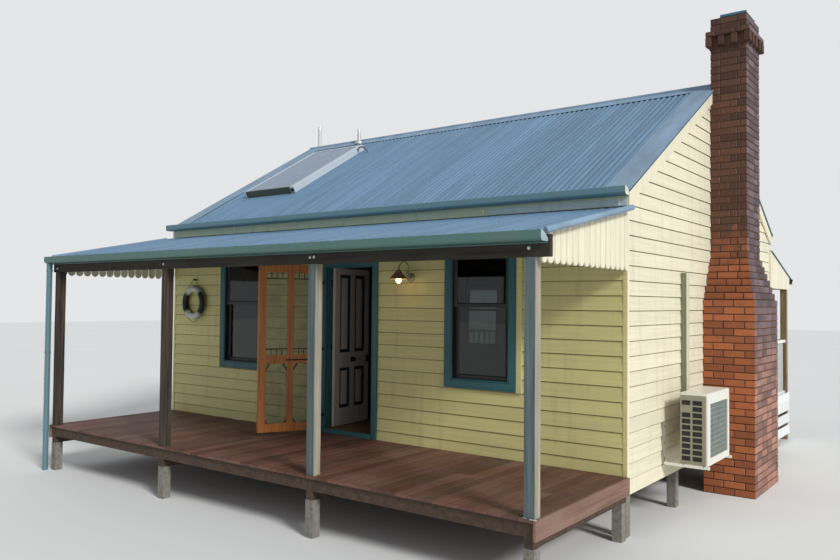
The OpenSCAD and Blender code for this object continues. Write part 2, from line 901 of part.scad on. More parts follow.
// A door frame in the front wall, centred on x, with its stop against the outer face of the leaf
module door_frame(x) {
    w = door_w / 2;
    difference() {
        union() {
            block(x - w - door_jamb_t, x + w + door_jamb_t, -hy, -in_y, floor_z, door_head + door_jamb_t);
            block(x - w - door_arch_w, x + w + door_arch_w, -hy - arch_t, -hy, deck_h,
                door_head + door_arch_w);
        }
        block(x - w, x + w, -2 * hy, 0, floor_z, door_head);
    }
}

module door_stops(x, seat) {
    w = door_w / 2;
    y1 = -in_y - leaf_t - seat;
    block(x - w, x - w + stop_t, y1 - stop_w, y1, floor_z, door_head);
    block(x + w - stop_t, x + w, y1 - stop_w, y1, floor_z, door_head);
    block(x - w, x + w, y1 - stop_w, y1, door_head - stop_t / 2, door_head);
}

module door_sill(x) {
    w = door_w / 2;
    block(x - w - door_jamb_t, x + w + door_jamb_t, -hy - arch_t, -fy, deck_h, floor_z);
}

// Heights of the hinges over the foot of a leaf
function hinge_z(i, h) = spread(i, hinge_count, hinge_low, h - hinge_low);

module front_door_frame() {
    color("teal") union() {
        door_frame(door_x);
        door_stops(door_x, swing_gap);
        door_sill(door_x);
        for (i = [0 : hinge_count - 1]) {
            z0 = leaf_z + hinge_z(i, leaf_h) - knuckle_h;
            translate([hinge_x, hinge_y, z0]) cylinder(r = knuckle_r, h = knuckle_h);
            block(hinge_x - plate_w, hinge_x, -in_y, -in_y + plate_t, z0, z0 + knuckle_h);
            z1 = screen_z + hinge_z(i, screen_h) - knuckle_h;
            translate([screen_pin_x, screen_pin_y, z1]) cylinder(r = knuckle_r, h = knuckle_h);
            block(screen_pin_x - knuckle_r, screen_pin_x - knuckle_r + plate_t, screen_pin_y,
                -hy - arch_t, z1, z1 + knuckle_h);
        }
    }
}

module rear_door_frame() {
    color("teal") mirror([0, 1, 0]) union() {
        door_frame(rear_door_x);
        door_stops(rear_door_x, 0);
        door_sill(rear_door_x);
    }
}

// A four-panel leaf in its closed place, its hinge edge at x0
module panel_sinks(x0, y0, y1) {
    mid = x0 + leaf_w / 2;
    low = leaf_z + bottom_rail_h;
    lock = leaf_z + lock_rail_z;
    for (zz = [[low, lock], [lock + lock_rail_h, leaf_z + leaf_h - top_rail_h]]) {
        block(x0 + stile_w, mid - muntin_w / 2, y0, y1, zz[0], zz[1]);
        block(mid + muntin_w / 2, x0 + leaf_w - stile_w, y0, y1, zz[0], zz[1]);
    }
}

module leaf(x0) {
    difference() {
        block(x0, x0 + leaf_w, -in_y - leaf_t, -in_y, leaf_z, leaf_z + leaf_h);
        panel_sinks(x0, -in_y - leaf_t - panel_sink, -in_y - leaf_t + panel_sink);
        panel_sinks(x0, -in_y - panel_sink, -in_y + panel_sink);
    }
}

module knob_pair(x) {
    z = leaf_z + lock_rail_z + lock_rail_h / 2;
    mid_y = -in_y - leaf_t / 2;
    translate([x, mid_y + leaf_t / 2 + knob_out / 2, z]) rotate([90, 0, 0])
        cylinder(r = knob_r / 3, h = leaf_t + knob_out);
    for (s = [-1, 1])
        translate([x, mid_y + s * (leaf_t / 2 + knob_out - knob_r), z]) sphere(r = knob_r);
}

module turned(px, py, angle) {
    translate([px, py, 0]) rotate([0, 0, angle]) translate([-px, -py, 0]) children();
}

module front_door() {
    color("antiquewhite") turned(hinge_x, hinge_y, door_open) union() {
        leaf(leaf_left);
        knob_pair(leaf_left + leaf_w / 2);
        for (i = [0 : hinge_count - 1]) {
            z0 = leaf_z + hinge_z(i, leaf_h) + pin_gap;
            translate([hinge_x, hinge_y, z0]) cylinder(r = knuckle_r, h = knuckle_h);
            block(hinge_x, hinge_x + plate_w, -in_y, -in_y + plate_t, z0, z0 + knuckle_h);
        }
    }
}

module rear_door() {
    color("antiquewhite") mirror([0, 1, 0]) union() {
        leaf(rear_door_x - leaf_w / 2);
        knob_pair(rear_door_x + leaf_w / 2 - stile_w / 2);
    }
}

// The screen door in its closed place
module screen_bays(y0, y1) {
    mid = screen_left + screen_w / 2;
    mid_rail = screen_z + screen_mid_z;
    for (xx = [[screen_left + screen_stile, mid - screen_muntin / 2],
            [mid + screen_muntin / 2, screen_left + screen_w - screen_stile]]) {
        block(xx[0], xx[1], y0, y1, screen_z + screen_foot_h, mid_rail);
        block(xx[0], xx[1], y0, y1, mid_rail + screen_mid_h, screen_z + screen_h - screen_top);
    }
}

module spindle_rows() {
    mid = screen_left + screen_w / 2;
    y_mid = (screen_front + screen_back) / 2;
    low = screen_z + screen_mid_z + screen_mid_h;
    high = screen_z + screen_h - screen_top;
    for (xx = [[screen_left + screen_stile, mid - screen_muntin / 2],
            [mid + screen_muntin / 2, screen_left + screen_w - screen_stile]],
            zz = [[low, low + spindle_row], [high - spindle_row, high]]) {
        rail = zz[0] == low ? zz[1] : zz[0];
        block(xx[0], xx[1], y_mid - spindle_r, y_mid + spindle_r, rail - spindle_r, rail + spindle_r);
        for (i = [0 : spindles - 1])
            translate([spread(i + 1, spindles + 2, xx[0], xx[1]), y_mid, zz[0]])
                cylinder(r = spindle_r, h = spindle_row);
    }
}

module screen_braces() {
    mid = screen_left + screen_w / 2;
    z1 = screen_z + screen_mid_z;
    for (xx = [[screen_left + screen_stile, 1], [mid - screen_muntin / 2, -1],
            [mid + screen_muntin / 2, 1], [screen_left + screen_w - screen_stile, -1]])
        along_y(screen_front + screen_t / 4, screen_back - screen_t / 4)
            difference() {
                polygon([[xx[0], z1], [xx[0] + xx[1] * brace, z1], [xx[0] + xx[1] * brace, z1 - brace],
                    [xx[0], z1 - brace]]);
                translate([xx[0] + xx[1] * brace, z1 - brace]) circle(r = brace - brace_tip);
            }
}

module screen_door() {
    color("chocolate") turned(screen_pin_x, screen_pin_y, -screen_open) union() {
        difference() {
            block(screen_left, screen_left + screen_w, screen_front, screen_back, screen_z,
                screen_z + screen_h);
            screen_bays(screen_front - screen_t, screen_back + screen_t);
        }
        spindle_rows();
        screen_braces();
        for (i = [0 : hinge_count - 1]) {
            z0 = screen_z + hinge_z(i, screen_h) + pin_gap;
            translate([screen_pin_x, screen_pin_y, z0]) cylinder(r = knuckle_r, h = knuckle_h);
            block(screen_pin_x, screen_pin_x + plate_w, screen_pin_y, screen_front, z0, z0 + knuckle_h);
        }
    }
}

module fly_mesh() {
    y_mid = screen_back - screen_t / 4 + mesh_t;
    color("gray", 0.5) turned(screen_pin_x, screen_pin_y, -screen_open)
        screen_bays(y_mid, y_mid + mesh_t);
}

// Decks
module deck_boards() {
    color("brown") {
        block(-hx, hx, front_edge, -hy, deck_joist_top, deck_h);
        block(-hx, hx, hy, rear_post_y - joint_gap, deck_joist_top, deck_h);
    }
}

module deck_rims() {
    color("saddlebrown") for (end = [-1, 1]) {
        x0 = min(end * hx, end * (hx + barge_t));
        block(x0, x0 + barge_t, front_edge, -hy, deck_h - rim_h, deck_h);
    }
}

// Front verandah
module verandah_posts() {
    color("darkgray") for (i = [0 : post_count - 1])
        block(post_x(i), post_x(i) + post_w, post_y, post_y + post_w, deck_h, beam_z);
}

module verandah_beams() {
    color("darkolivegreen") {
        block(beam_left, beam_right, post_y, post_y + beam_w, beam_z, beam_z + beam_d);
        block(beam_right - beam_block, beam_right, post_y, post_y + beam_w, beam_z + beam_d + lay_gap,
            front_z(post_y) - sheet_t / 2 - roll_r - joint_gap);
        ledger_top = front_z(-hy - ledger_w) - front_down(sheet_t + batten_d);
        block(-hx + fascia_t, hx - fascia_t, -hy - ledger_w, -hy, ledger_top - ledger_h, ledger_top);
        block(-hx, hx, rear_post_y + post_w - rear_beam_w, rear_post_y + post_w, rear_beam_z,
            rear_beam_z + rear_beam_d);
        rear_ledger = rear_z(hy + ledger_w) - rear_down(sheet_t + batten_d);
        block(-hx + fascia_t, hx - fascia_t, hy, hy + ledger_w, rear_ledger - ledger_h, rear_ledger);
    }
}

module verandah_roof_sheets() {
    color("lightsteelblue") front_layer(-hx - v_over, hx + v_over, 0, sheet_t, front_eave, -hy);
}

module infill_panel(x0) {
    back = post_y + beam_w;
    boards = floor((-hy - back) / infill_pitch);
    tip = infill_pitch / 2 - joint_gap;
    first = -hy - boards * infill_pitch;
    low = deck_h + infill_z + tip;
    along_x(x0, x0 + fascia_t) union() {
        polygon([[first, low], [-hy, low], [-hy, front_z(-hy) - front_down(sheet_t + lay_gap)],
            [first, front_z(first) - front_down(sheet_t + lay_gap)]]);
        for (i = [0 : boards - 1])
            translate([first + (i + 0.5) * infill_pitch, low]) circle(r = tip);
    }
}

module verandah_infill() {
    color("lemonchiffon") {
        infill_panel(hx);
        infill_panel(-hx - fascia_t);
    }
}

module verandah_gutter() {
    color("cadetblue") mirror([0, 1, 0])
        gutter(v_gutter_left, v_gutter_right, v_gutter_y, v_gutter_top);
}

module downpipe() {
    x = v_gutter_left + gutter_t + pipe_r;
    y = -v_gutter_y - gutter_w / 2;
    color("steelblue") union() {
        translate([x, y, 0]) cylinder(r = pipe_r, h = v_gutter_top - gutter_h);
        translate([x, y, v_gutter_top - gutter_h - 3 * pipe_r]) cylinder(r = pipe_r + 4, h = pipe_r);
    }
}

// Rear verandah
module rear_posts() {
    color("darkgray") for (i = [0 : post_count - 1])
        block(post_x(i), post_x(i) + post_w, rear_post_y, rear_post_y + post_w, 0, rear_beam_z);
}

rail_z = deck_h + 1100;
foot_rail_z = deck_h + 230;
rail_t = 45;
rail_w = 70;
baluster_w = 25;
baluster_pitch = 130;

module rail_run(len) {
    count = floor(len / baluster_pitch);
    translate([0, -rail_w / 2, rail_z - rail_t]) cube([len, rail_w, rail_t]);
    translate([0, -rail_t / 2, foot_rail_z - rail_t]) cube([len, rail_t, rail_t]);
    for (i = [1 : count - 1])
        translate([i * len / count - baluster_w / 2, -baluster_w / 2, foot_rail_z - rail_t / 2])
            cube([baluster_w, baluster_w, rail_z - foot_rail_z]);
}

module rear_balustrade() {
    mid_y = rear_post_y + post_w / 2;
    color("ivory") {
        for (i = [0 : post_count - 2])
            translate([post_x(i) + post_w, mid_y, 0]) rail_run(post_step - post_w);
        for (x = [-hx + post_w / 2, hx - post_w / 2])
            translate([x, hy, 0]) rotate([0, 0, 90]) rail_run(rear_post_y - hy);
    }
}

skirt_t = 20;
// Lower and upper edge of each skirt board, from the deck's height
skirt_rows = [[-100, 200], [-300, -150], [-500, -350]];

module rear_skirt() {
    color("snow") for (row = skirt_rows) {
        block(-hx, hx, rear_post_y + post_w, rear_post_y + post_w + skirt_t, deck_h + row[0],
            deck_h + row[1]);
        for (end = [-1, 1])
            block(min(end * hx, end * (hx + skirt_t)), max(end * hx, end * (hx + skirt_t)),
                hy + joint_gap, rear_post_y + post_w - joint_gap, deck_h + row[0], deck_h + row[1]);
    }
}

module rear_verandah_sheets() {
    color("lightsteelblue") rear_layer(-hx - rear_over, hx + rear_over, 0, sheet_t, hy, rear_eave);
}

module rear_infill() {
    start = hy + joint_gap;
    back = rear_post_y + post_w + rear_beam_w / 2;
    under = rear_down(sheet_t + lay_gap);
    color("lemonchiffon") for (x0 = [-hx - fascia_t, hx])
        along_x(x0, x0 + fascia_t) polygon([[start, rear_infill_z], [back, rear_infill_z],
            [back, rear_z(back) - under], [start, rear_z(start) - under]]);
}

module rear_gutter() {
    color("cadetblue") gutter(-hx - rear_over, hx + rear_over, rear_gutter_y, rear_gutter_top);
}

// Fixtures
module heat_pump() {
    x0 = hx + ac_off;
    fan_r = ac_h / 3;
    fan_edge = 60;
    fan_sink = 15;
    color("whitesmoke") difference() {
        block(x0, x0 + ac_d, ac_y, ac_y + ac_w, ac_z, ac_z + ac_h);
        translate([x0 + ac_d - fan_sink, ac_y + ac_w - fan_r - fan_edge, ac_z + ac_h / 2]) rotate([0, 90, 0])
            cylinder(r = fan_r, h = ac_d);
    }
}

module heat_pump_bracket() {
    arm = 30;
    leg_h = 420;
    foot = 20;
    color("ivory") for (y = [ac_y - arm / 2, ac_y + ac_w - arm / 2]) {
        block(hx, hx + arm / 2, y, y + arm, ac_z - arm, ac_z + leg_h);
        block(hx + arm / 2, hx + ac_off + ac_d + foot, y, y + arm, ac_z - arm, ac_z);
    }
}

module pipe_duct() {
    color("ivory") block(hx, hx + duct_d, duct_y, duct_y + duct_w, deck_h + duct_low, deck_h + duct_high);
}

module lamp_shade(r, top_r, h) {
    cylinder(r1 = r, r2 = top_r, h = h);
}

module wall_lamp() {
    stub_y = -plate_out - 2 * arm_r;
    color("silver") translate([lamp_x, -hy, deck_h + lamp_z]) union() {
        translate([0, 0, -lamp_drop]) rotate([90, 0, 0]) cylinder(r = lamp_plate_r, h = plate_out);
        translate([0, -plate_out / 2, -lamp_drop]) rotate([90, 0, 0]) cylinder(r = arm_r, h = -stub_y);
        translate([0, stub_y - arm_r, -lamp_drop]) cylinder(r = arm_r, h = lamp_drop);
        translate([0, stub_y - arm_r - arm_bend, 0]) rotate([0, 0, 90]) rotate([90, 0, 0])
            rotate_extrude(angle = 180) translate([arm_bend, 0]) circle(r = arm_r);
        translate([0, stub_y - arm_r - 2 * arm_bend, -shade_h]) {
            difference() {
                lamp_shade(shade_r, shade_top_r, shade_h);
                translate([0, 0, -shade_t]) lamp_shade(shade_r - shade_t, shade_top_r, shade_h);
            }
            translate([0, 0, -bulb_r / 2]) cylinder(r = arm_r, h = shade_h + bulb_r / 2);
            translate([0, 0, -bulb_r / 2]) sphere(r = bulb_r);
        }
    }
}

module life_ring() {
    major = ring_r - ring_tube_r;
    color("white") translate([ring_x, -hy, deck_h + ring_z]) union() {
        translate([0, -ring_tube_r, 0]) rotate([90, 0, 0])
            rotate_extrude() translate([major, 0]) circle(r = ring_tube_r);
        translate([0, 0, hook_up]) rotate([90, 0, 0]) cylinder(r = peg_r, h = ring_tube_r + peg_r);
        for (start = [rope_route[0], rope_route[len(rope_route) - 1]]) hanging_leg(start);
    }
}

// A taut leg of the rope, from the grab rope's end up to the peg
module hanging_leg(start) {
    rise = hook_up + peg_r + rope_r - start[1];
    translate([start[0], -ring_tube_r, start[1]]) rotate([0, -atan2(start[0], rise), 0])
        translate([0, 0, lay_gap]) cylinder(r = rope_r, h = norm([start[0], rise]) - lay_gap);
}

function route_way(i) =
    let (before = rope_route[max(i - 1, 0)], after = rope_route[min(i + 1, len(rope_route) - 1)])
    (after - before) / norm(after - before);
function rope_loop(i) =
    let (way = route_way(i))
    [for (k = [0 : rope_sides - 1])
        let (across = rope_r * cos(k * 360 / rope_sides))
        [rope_route[i][0] + across * way[1], rope_r * sin(k * 360 / rope_sides) - ring_tube_r,
            rope_route[i][1] - across * way[0]]];

module grab_rope() {
    last = len(rope_route) - 1;
    color("tan") translate([ring_x, -hy, deck_h + ring_z]) polyhedron(
        points = [for (i = [0 : last]) each rope_loop(i)],
        faces = [
            [for (k = [0 : rope_sides - 1]) k],
            for (i = [0 : last - 1], k = [0 : rope_sides - 1])
                let (a = i * rope_sides + k, b = i * rope_sides + (k + 1) % rope_sides) each [
                    [a, a + rope_sides, b], [b, a + rope_sides, b + rope_sides]],
            [for (k = [rope_sides - 1 : -1 : 0]) last * rope_sides + k]]);
}

stumps();
bearers();
joists();
house_floor();
front_wall_left();
front_wall_right();
front_wall_over_door();
right_wall();
left_wall();
rear_wall();
front_weatherboards();
right_weatherboards();
left_weatherboards();
rear_weatherboards();
corner_boards();
rafters();
roof_battens();
front_roof_sheets();
rear_roof_sheets();
ridge_cap();
verge_flashings();
barge_boards();
eave_fascias();
main_gutters();
chimney();
chimney_cap();
roof_panel();
vent_pipes();
window_frames();
window_sashes();
window_glass();
front_door_frame();
front_door();
screen_door();
fly_mesh();
rear_door_frame();
rear_door();
deck_boards();
deck_rims();
verandah_posts();
verandah_beams();
verandah_roof_sheets();
verandah_infill();
verandah_gutter();
downpipe();
rear_posts();
rear_balustrade();
rear_skirt();
rear_verandah_sheets();
rear_infill();
rear_gutter();
heat_pump();
heat_pump_bracket();
pipe_duct();
wall_lamp();
life_ring();
grab_rope();
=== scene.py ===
# The weatherboard cottage, dressed: every board, sheet, brick and fitting as its own mesh, in the
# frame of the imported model. Lengths are written in millimetres and made into metres by Shape.make.
import bmesh
import bpy
import math
import random
from itertools import pairwise
from mathutils import Matrix, Vector


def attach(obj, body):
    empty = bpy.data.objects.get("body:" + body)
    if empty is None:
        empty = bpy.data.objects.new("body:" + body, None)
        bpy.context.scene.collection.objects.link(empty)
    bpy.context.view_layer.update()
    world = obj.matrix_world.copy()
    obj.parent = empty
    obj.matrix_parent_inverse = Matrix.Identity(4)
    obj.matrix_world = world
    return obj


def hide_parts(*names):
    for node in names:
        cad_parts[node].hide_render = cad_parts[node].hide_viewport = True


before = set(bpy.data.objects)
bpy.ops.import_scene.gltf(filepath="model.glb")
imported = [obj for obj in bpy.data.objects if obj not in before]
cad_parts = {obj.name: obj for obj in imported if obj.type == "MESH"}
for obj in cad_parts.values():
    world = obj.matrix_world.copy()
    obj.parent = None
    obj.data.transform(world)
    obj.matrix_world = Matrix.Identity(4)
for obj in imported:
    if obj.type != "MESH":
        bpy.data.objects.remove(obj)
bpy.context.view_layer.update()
rng = random.Random(41)

# Sizes in millimetres, as in the part's source: H is the corner boards' outside, F the frame's
HX, HY = 3650, 2950
FX, FY = 3628, 2928
INNER_Y = 2850
DECK, DECK_UNDER, DECK_PITCH, FLOOR, FLOOR_PITCH = 600, 575, 138, 655, 108
CLAD_BOTTOM, COURSE, REBATE, BUTT = 420, 150, 6, 0.8
CORNER = 48
MAIN_TOP, FRONT_TOP, REAR_TOP = 3430, 3250, 3170
BATTEN_FOOT, RAFTER_FOOT = 58, 148  # depths below the top of the iron, square to the slope
EAVE_Y, VERGE_X = 3000, 3690
FASCIA_FOOT, FASCIA_HEAD, MAIN_GUTTER_TOP, GUTTER_DEPTH = 3250, 3375, 3440, 90
DOWNPIPE_AT, DOWNPIPE_R = (-3697, -4894), 36
FRONT_EDGE, FRONT_EAVE, REAR_EAVE = -4860, -4880, 4440
POST_Y, REAR_POST_Y = -4835, 4145
POST_W, POST_STEP, BEAM_W, BEAM_FOOT, BEAM_HEAD = 100, 2400, 50, 2650, 2780
SILL, HEAD, REAR_HEAD, WIN_W, JAMB = 1430, 2980, 2870, 730, 30
# Each window's centre, its wall, its head and the height where its sashes meet
WINDOWS = ((-2050, -1, HEAD, 2260), (1940, -1, HEAD, 2260), (-1700, 1, REAR_HEAD, 2150))
DOOR_X, REAR_DOOR_X, DOOR_W, DOOR_HEAD, DOOR_JAMB = -15, 1300, 780, 2730, 35
SHAFT_X, SHAFT_Y0, SHAFT_Y1, SHAFT_TOP = HX + 440, -206.5, 420.5, 5930
WAVE, WAVE_STEPS, SHEET = 76, 12, 760


def pitch(degrees):
    return math.tan(math.radians(degrees)), math.cos(math.radians(degrees))


(TAN_MAIN, COS_MAIN), (TAN_FRONT, COS_FRONT), (TAN_REAR, COS_REAR) = pitch(30), pitch(11.5), pitch(16)


def roof_z(y):
    return MAIN_TOP + (HY - abs(y)) * TAN_MAIN


def front_z(y):
    return FRONT_TOP + (y + HY) * TAN_FRONT


def rear_z(y):
    return REAR_TOP - (y - HY) * TAN_REAR


def link(obj):
    bpy.context.scene.collection.objects.link(obj)
    return obj


# Camera, solved from the lines of the house in the photograph, which is 840 pixels wide
YAW, PITCH, ROLL = math.radians(36.87), math.radians(1.68), 0.0087
EYE, FOCAL_PIXELS, PHOTO_W, SENSOR = (6.545, -10.203, 2.283), 769.37, 840, 36
forward = Vector((-math.sin(YAW) * math.cos(PITCH), math.cos(YAW) * math.cos(PITCH), math.sin(PITCH)))
side = Vector((math.cos(YAW), math.sin(YAW), 0))
above = side.cross(forward)
right = math.cos(ROLL) * side + math.sin(ROLL) * above
upward = math.cos(ROLL) * above - math.sin(ROLL) * side
camera = link(bpy.data.objects.new("camera", bpy.data.cameras.new("camera")))
camera.data.sensor_width = SENSOR
camera.data.lens = FOCAL_PIXELS / PHOTO_W * SENSOR
camera.data.clip_end = 400
camera.matrix_world = Matrix((*zip(right, upward, -forward, EYE), (0, 0, 0, 1)))
bpy.context.scene.camera = camera

# The grab rope's route round the life ring, as in the part's source: steps in millimetres to the
# right and up from the ring's centre
RING_AT, RING_MAJOR, RING_TUBE = (-3100, -2996, 2255), 203, 45.7
ROPE_R, PEG_Z = 5, 2595
ROPE_ROUTE = [
    (180, 180), (201, 158), (219, 133), (234, 106), (247, 77), (257, 47), (265, 16), (272, -16), (273, -50),
    (268, -83), (253, -114), (231, -139), (204, -160), (180, -180), (152, -211), (125, -238), (97, -258),
    (69, -274), (42, -285), (14, -290), (-14, -290), (-42, -285), (-69, -274), (-97, -258), (-125, -238),
    (-152, -211), (-180, -180), (-204, -160), (-230, -139), (-252, -113), (-266, -83), (-272, -50),
    (-270, -16), (-265, 16), (-256, 47), (-247, 77), (-234, 106), (-219, 133), (-201, 158), (-180, 180)]


def grab_rope():
    """The free rope between the ring's bands, as a curve of its real length. The points carry its radius."""
    x, y, z = RING_AT
    points = [Vector(((x + u) / 1000, y / 1000, (z + v) / 1000)) for u, v in ROPE_ROUTE]
    curve = bpy.data.curves.new("grab_rope_line", "CURVE")
    curve.dimensions = "3D"
    curve.bevel_depth = 1
    curve.bevel_resolution = 3
    curve.use_fill_caps = True
    line = curve.splines.new("POLY")
    line.points.add(len(points) - 1)
    for spot, p in zip(line.points, points):
        spot.co = (*p, 1)
        spot.radius = ROPE_R / 1000
    obj = link(bpy.data.objects.new("grab_rope_line", curve))
    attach(obj, "house")
    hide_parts("grab_rope")
    tuple(points[0])
    return obj


rope = grab_rope()


# Materials. Colours are given as screen colours, 0 to 255.
def rgb(*colour):
    """The linear colour that a shader takes, for channels of 11 and more."""
    return tuple(((c / 255 + 0.055) / 1.055) ** 2.4 for c in colour) + (1,)


def shaded(colour, level):
    return tuple(c * level for c in colour[:3]) + (1,)


class Finish:
    """A material under construction: a principled shader with nodes set by short calls."""

    def __init__(self, name, **sockets):
        self.material = bpy.data.materials.new(name)
        self.material.use_nodes = True
        self.tree = self.material.node_tree
        self.tree.nodes.clear()
        self.shader = self.node("BsdfPrincipled")
        self.feed(self.node("OutputMaterial").inputs[0], self.shader)
        for key, value in sockets.items():
            self.shader.inputs[key.replace("_", " ")].default_value = value

    def node(self, kind, *values, props=None, **inputs):
        n = self.tree.nodes.new("ShaderNode" + kind)
        for key, value in (props or {}).items():
            setattr(n, key, value)
        for key, value in [*enumerate(values), *inputs.items()]:
            self.feed(n.inputs[key], value)
        return n

    def feed(self, socket, value):
        if isinstance(value, bpy.types.NodeSocket):
            self.tree.links.new(value, socket)
        elif isinstance(value, bpy.types.Node):
            self.tree.links.new(value.outputs[0], socket)
        else:
            socket.default_value = value

    def place(self, scale):
        scale = scale if isinstance(scale, tuple) else (scale,) * 3
        return self.node("Mapping", Vector=self.node("TexCoord").outputs["Object"], Scale=scale)

    def axis(self, number):
        """The object coordinate along one axis."""
        return self.node("SeparateXYZ", self.node("TexCoord").outputs["Object"]).outputs[number]

    def noise(self, scale, detail=4, roughness=0.6, distortion=0.0):
        return self.node("TexNoise", Vector=self.place(scale), Scale=1.0, Detail=detail,
                         Roughness=roughness, Distortion=distortion)

    def span(self, value, a, b, low=0.0, high=1.0):
        """value from a..b made into low..high."""
        return self.node("MapRange", value, a, b, low, high)

    def maths(self, operation, a, b=0.5):
        return self.node("Math", a, b, props={"operation": operation})

    def mix(self, factor, a, b, kind="MIX"):
        n = self.node("Mix", props={"data_type": "RGBA", "blend_type": kind})
        for socket, value in ((0, factor), (6, a), (7, b)):
            self.feed(n.inputs[socket], value)
        return n.outputs[2]

    def tone(self):
        return self.node("Attribute", props={"attribute_name": "tone"}).outputs["Fac"]

    def toned(self, colour, strength):
        """Each board, sheet or brick a little lighter or darker than its neighbours."""
        level = self.span(self.tone(), 0, 1, 1 - strength, 1 + strength)
        grey = self.node("CombineColor", level, level, level)
        return self.mix(1.0, colour, grey.outputs[0], "MULTIPLY")

    def done(self, colour, roughness=None, height=None, strength=0.2, distance=0.001):
        self.feed(self.shader.inputs["Base Color"], colour)
        if roughness is not None:
            self.feed(self.shader.inputs["Roughness"], roughness)
        if height is not None:
            bump = self.node("Bump", Height=height, Strength=strength, Distance=distance)
            self.feed(self.shader.inputs["Normal"], bump)
        return self.material

    def worn(self, colour, tone, source, rough, less, more, *relief):
        """Done with a shade for each face and a roughness that follows the source."""
        shades = self.toned(colour, tone)
        return self.done(shades, self.span(source, 0.3, 0.7, rough - less, rough + more), *relief)


def painted(name, colour, grain, amount, dirt=(112, 104, 84), rough=0.5, tone=0.04, bump=0.15, shade=0.86):
    """Painted timber: faint grain, brush marks, weather streaks and a little grime."""
    f, colour = Finish(name), rgb(*colour)
    fibre, patches, streaks = f.noise(grain, 6), f.noise(1.3, 5), f.noise((9, 9, 0.9), 5, 0.65)
    base = f.mix(f.span(fibre, 0.35, 0.65), shaded(colour, shade), colour)
    base = f.mix(f.span(patches, 0.35, 0.75, 0, 0.5), base, colour)
    grime = f.maths("MULTIPLY", f.span(streaks, 0.52, 0.78), f.span(patches, 0.3, 0.7, 0.2, amount))
    base = f.mix(grime, base, rgb(*dirt))
    return f.worn(base, tone, fibre, rough, 0.08, 0.1, fibre, bump, 0.0015)


def timber(name, dark, light, grain, rough, tone, bump, knots=0.5, grey=None, sharp=0.12):
    """Bare or stained timber with long grain, darker cracks and patches of weathering."""
    f, dark = Finish(name), rgb(*dark)
    fibre, fine, patches = f.noise(grain, 8, 0.62, 0.4), f.noise(tuple(3.1 * g for g in grain)), f.noise(2.1)
    base = f.mix(f.span(fibre, 0.5 - sharp, 0.5 + sharp), dark, rgb(*light))
    base = f.mix(f.span(fine, 0.3, 0.5, knots * 0.6, 0.0), base, shaded(dark, 0.55))
    if grey:
        base = f.mix(f.span(patches, 0.4, 0.68, 0, 0.8), base, rgb(*grey))
    base = f.mix(f.maths("SUBTRACT", 1.0, f.span(fibre, 0.2, 0.36)), base, shaded(dark, 0.3))
    height = f.maths("ADD", fibre, f.maths("MULTIPLY", fine, 0.4))
    return f.worn(base, tone, fine, rough, 0.12, 0.12, height, bump, 0.003)


def iron(name, colour, along, metallic=0.3, rough=0.48, rust=0.25, dust=0.5):
    """Weathered corrugated iron: spangle, pale streaks down the slope, dust and painted shade in the valleys,
    a few stains.
    """
    f, colour = Finish(name, Metallic=metallic), rgb(*colour)
    spangle = f.node("TexVoronoi", Vector=f.place(60), Scale=1.0).outputs["Color"]
    streaks, clouds = f.noise(along, 6, 0.62), f.noise((0.55, 0.8, 0.8), 5)
    base = f.mix(f.span(streaks, 0.36, 0.66), shaded(colour, 0.78), shaded(colour, 1.28))
    base = f.mix(f.span(clouds, 0.35, 0.7, 0.1, 0.7), base, colour)
    # Darker in the waves' valleys: dust, and painted shade that deepens the corrugation
    valley = f.maths("COSINE", f.maths("MULTIPLY", f.axis(0), 1000 * math.tau / WAVE))
    base = f.mix(f.span(valley, 0.2, -1.0, 0, dust), base, shaded(colour, 0.55))
    base = f.mix(0.06, base, spangle, "OVERLAY")
    stain = f.maths("MULTIPLY", f.span(streaks, 0.56, 0.72), f.span(clouds, 0.55, 0.72, 0, rust))
    base = f.mix(stain, base, rgb(126, 104, 84))
    return f.worn(base, 0.05, clouds, rough, 0.08, 0.14, streaks, 0.08, 0.002)


def smooth(name, colour, rough, metallic, speck=0.06, bump=0.05, scale=120, dirt=0.18, coat=0.0):
    """Metal, enamel or plastic with a fine texture and a little dust."""
    f, colour = Finish(name, Metallic=metallic, Coat_Weight=coat), rgb(*colour)
    fine, dust = f.noise(scale, 3), f.noise((5, 5, 3), 5, 0.65)
    base = f.mix(f.span(fine, 0.3, 0.7), shaded(colour, 1 - 2.2 * speck), colour)
    base = f.mix(f.span(dust, 0.5, 0.8, 0, dirt), base, rgb(120, 112, 96))
    return f.worn(base, 0.03, dust, rough, 0.06, 0.12, fine, bump, 0.0008)


def sheet_paint(name, colour, rough, metallic):
    return smooth(name, colour, rough, metallic, 0.05, 0.03, 60, 0.3)


def brick_finish(name, low_dark, low_light, high_dark, high_light, below, over, drift):
    """Clay bricks: orange below, darker above the shoulders, no two quite alike."""
    f = Finish(name)
    tone, blotch, grit = f.span(f.tone(), 0.1, 0.95), f.noise(7, 5), f.noise(90, 5, 0.7)
    low, high = (f.mix(tone, rgb(*a), rgb(*b)) for a, b in ((low_dark, low_light), (high_dark, high_light)))
    rise = f.maths("ADD", f.axis(2), f.maths("MULTIPLY", f.maths("SUBTRACT", blotch), drift))
    base = f.mix(f.span(rise, below, over), low, high)
    base = f.mix(f.span(blotch, 0.5, 0.8, 0, 0.4), base, rgb(92, 62, 48))
    base = f.mix(f.span(grit, 0.35, 0.6, 0.25, 0), base, rgb(60, 42, 36))
    return f.done(base, f.span(grit, 0.3, 0.7, 0.75, 0.95), grit, 0.55, 0.003)


def mortar_finish():
    f = Finish("mortar")
    grit = f.noise(140, 5, 0.7)
    base = f.mix(f.span(grit, 0.3, 0.7), rgb(52, 38, 30), rgb(98, 68, 50))
    base = f.mix(f.span(f.noise(5), 0.45, 0.7, 0, 0.6), base, rgb(70, 50, 38))
    return f.done(base, 0.95, grit, 0.6, 0.003)


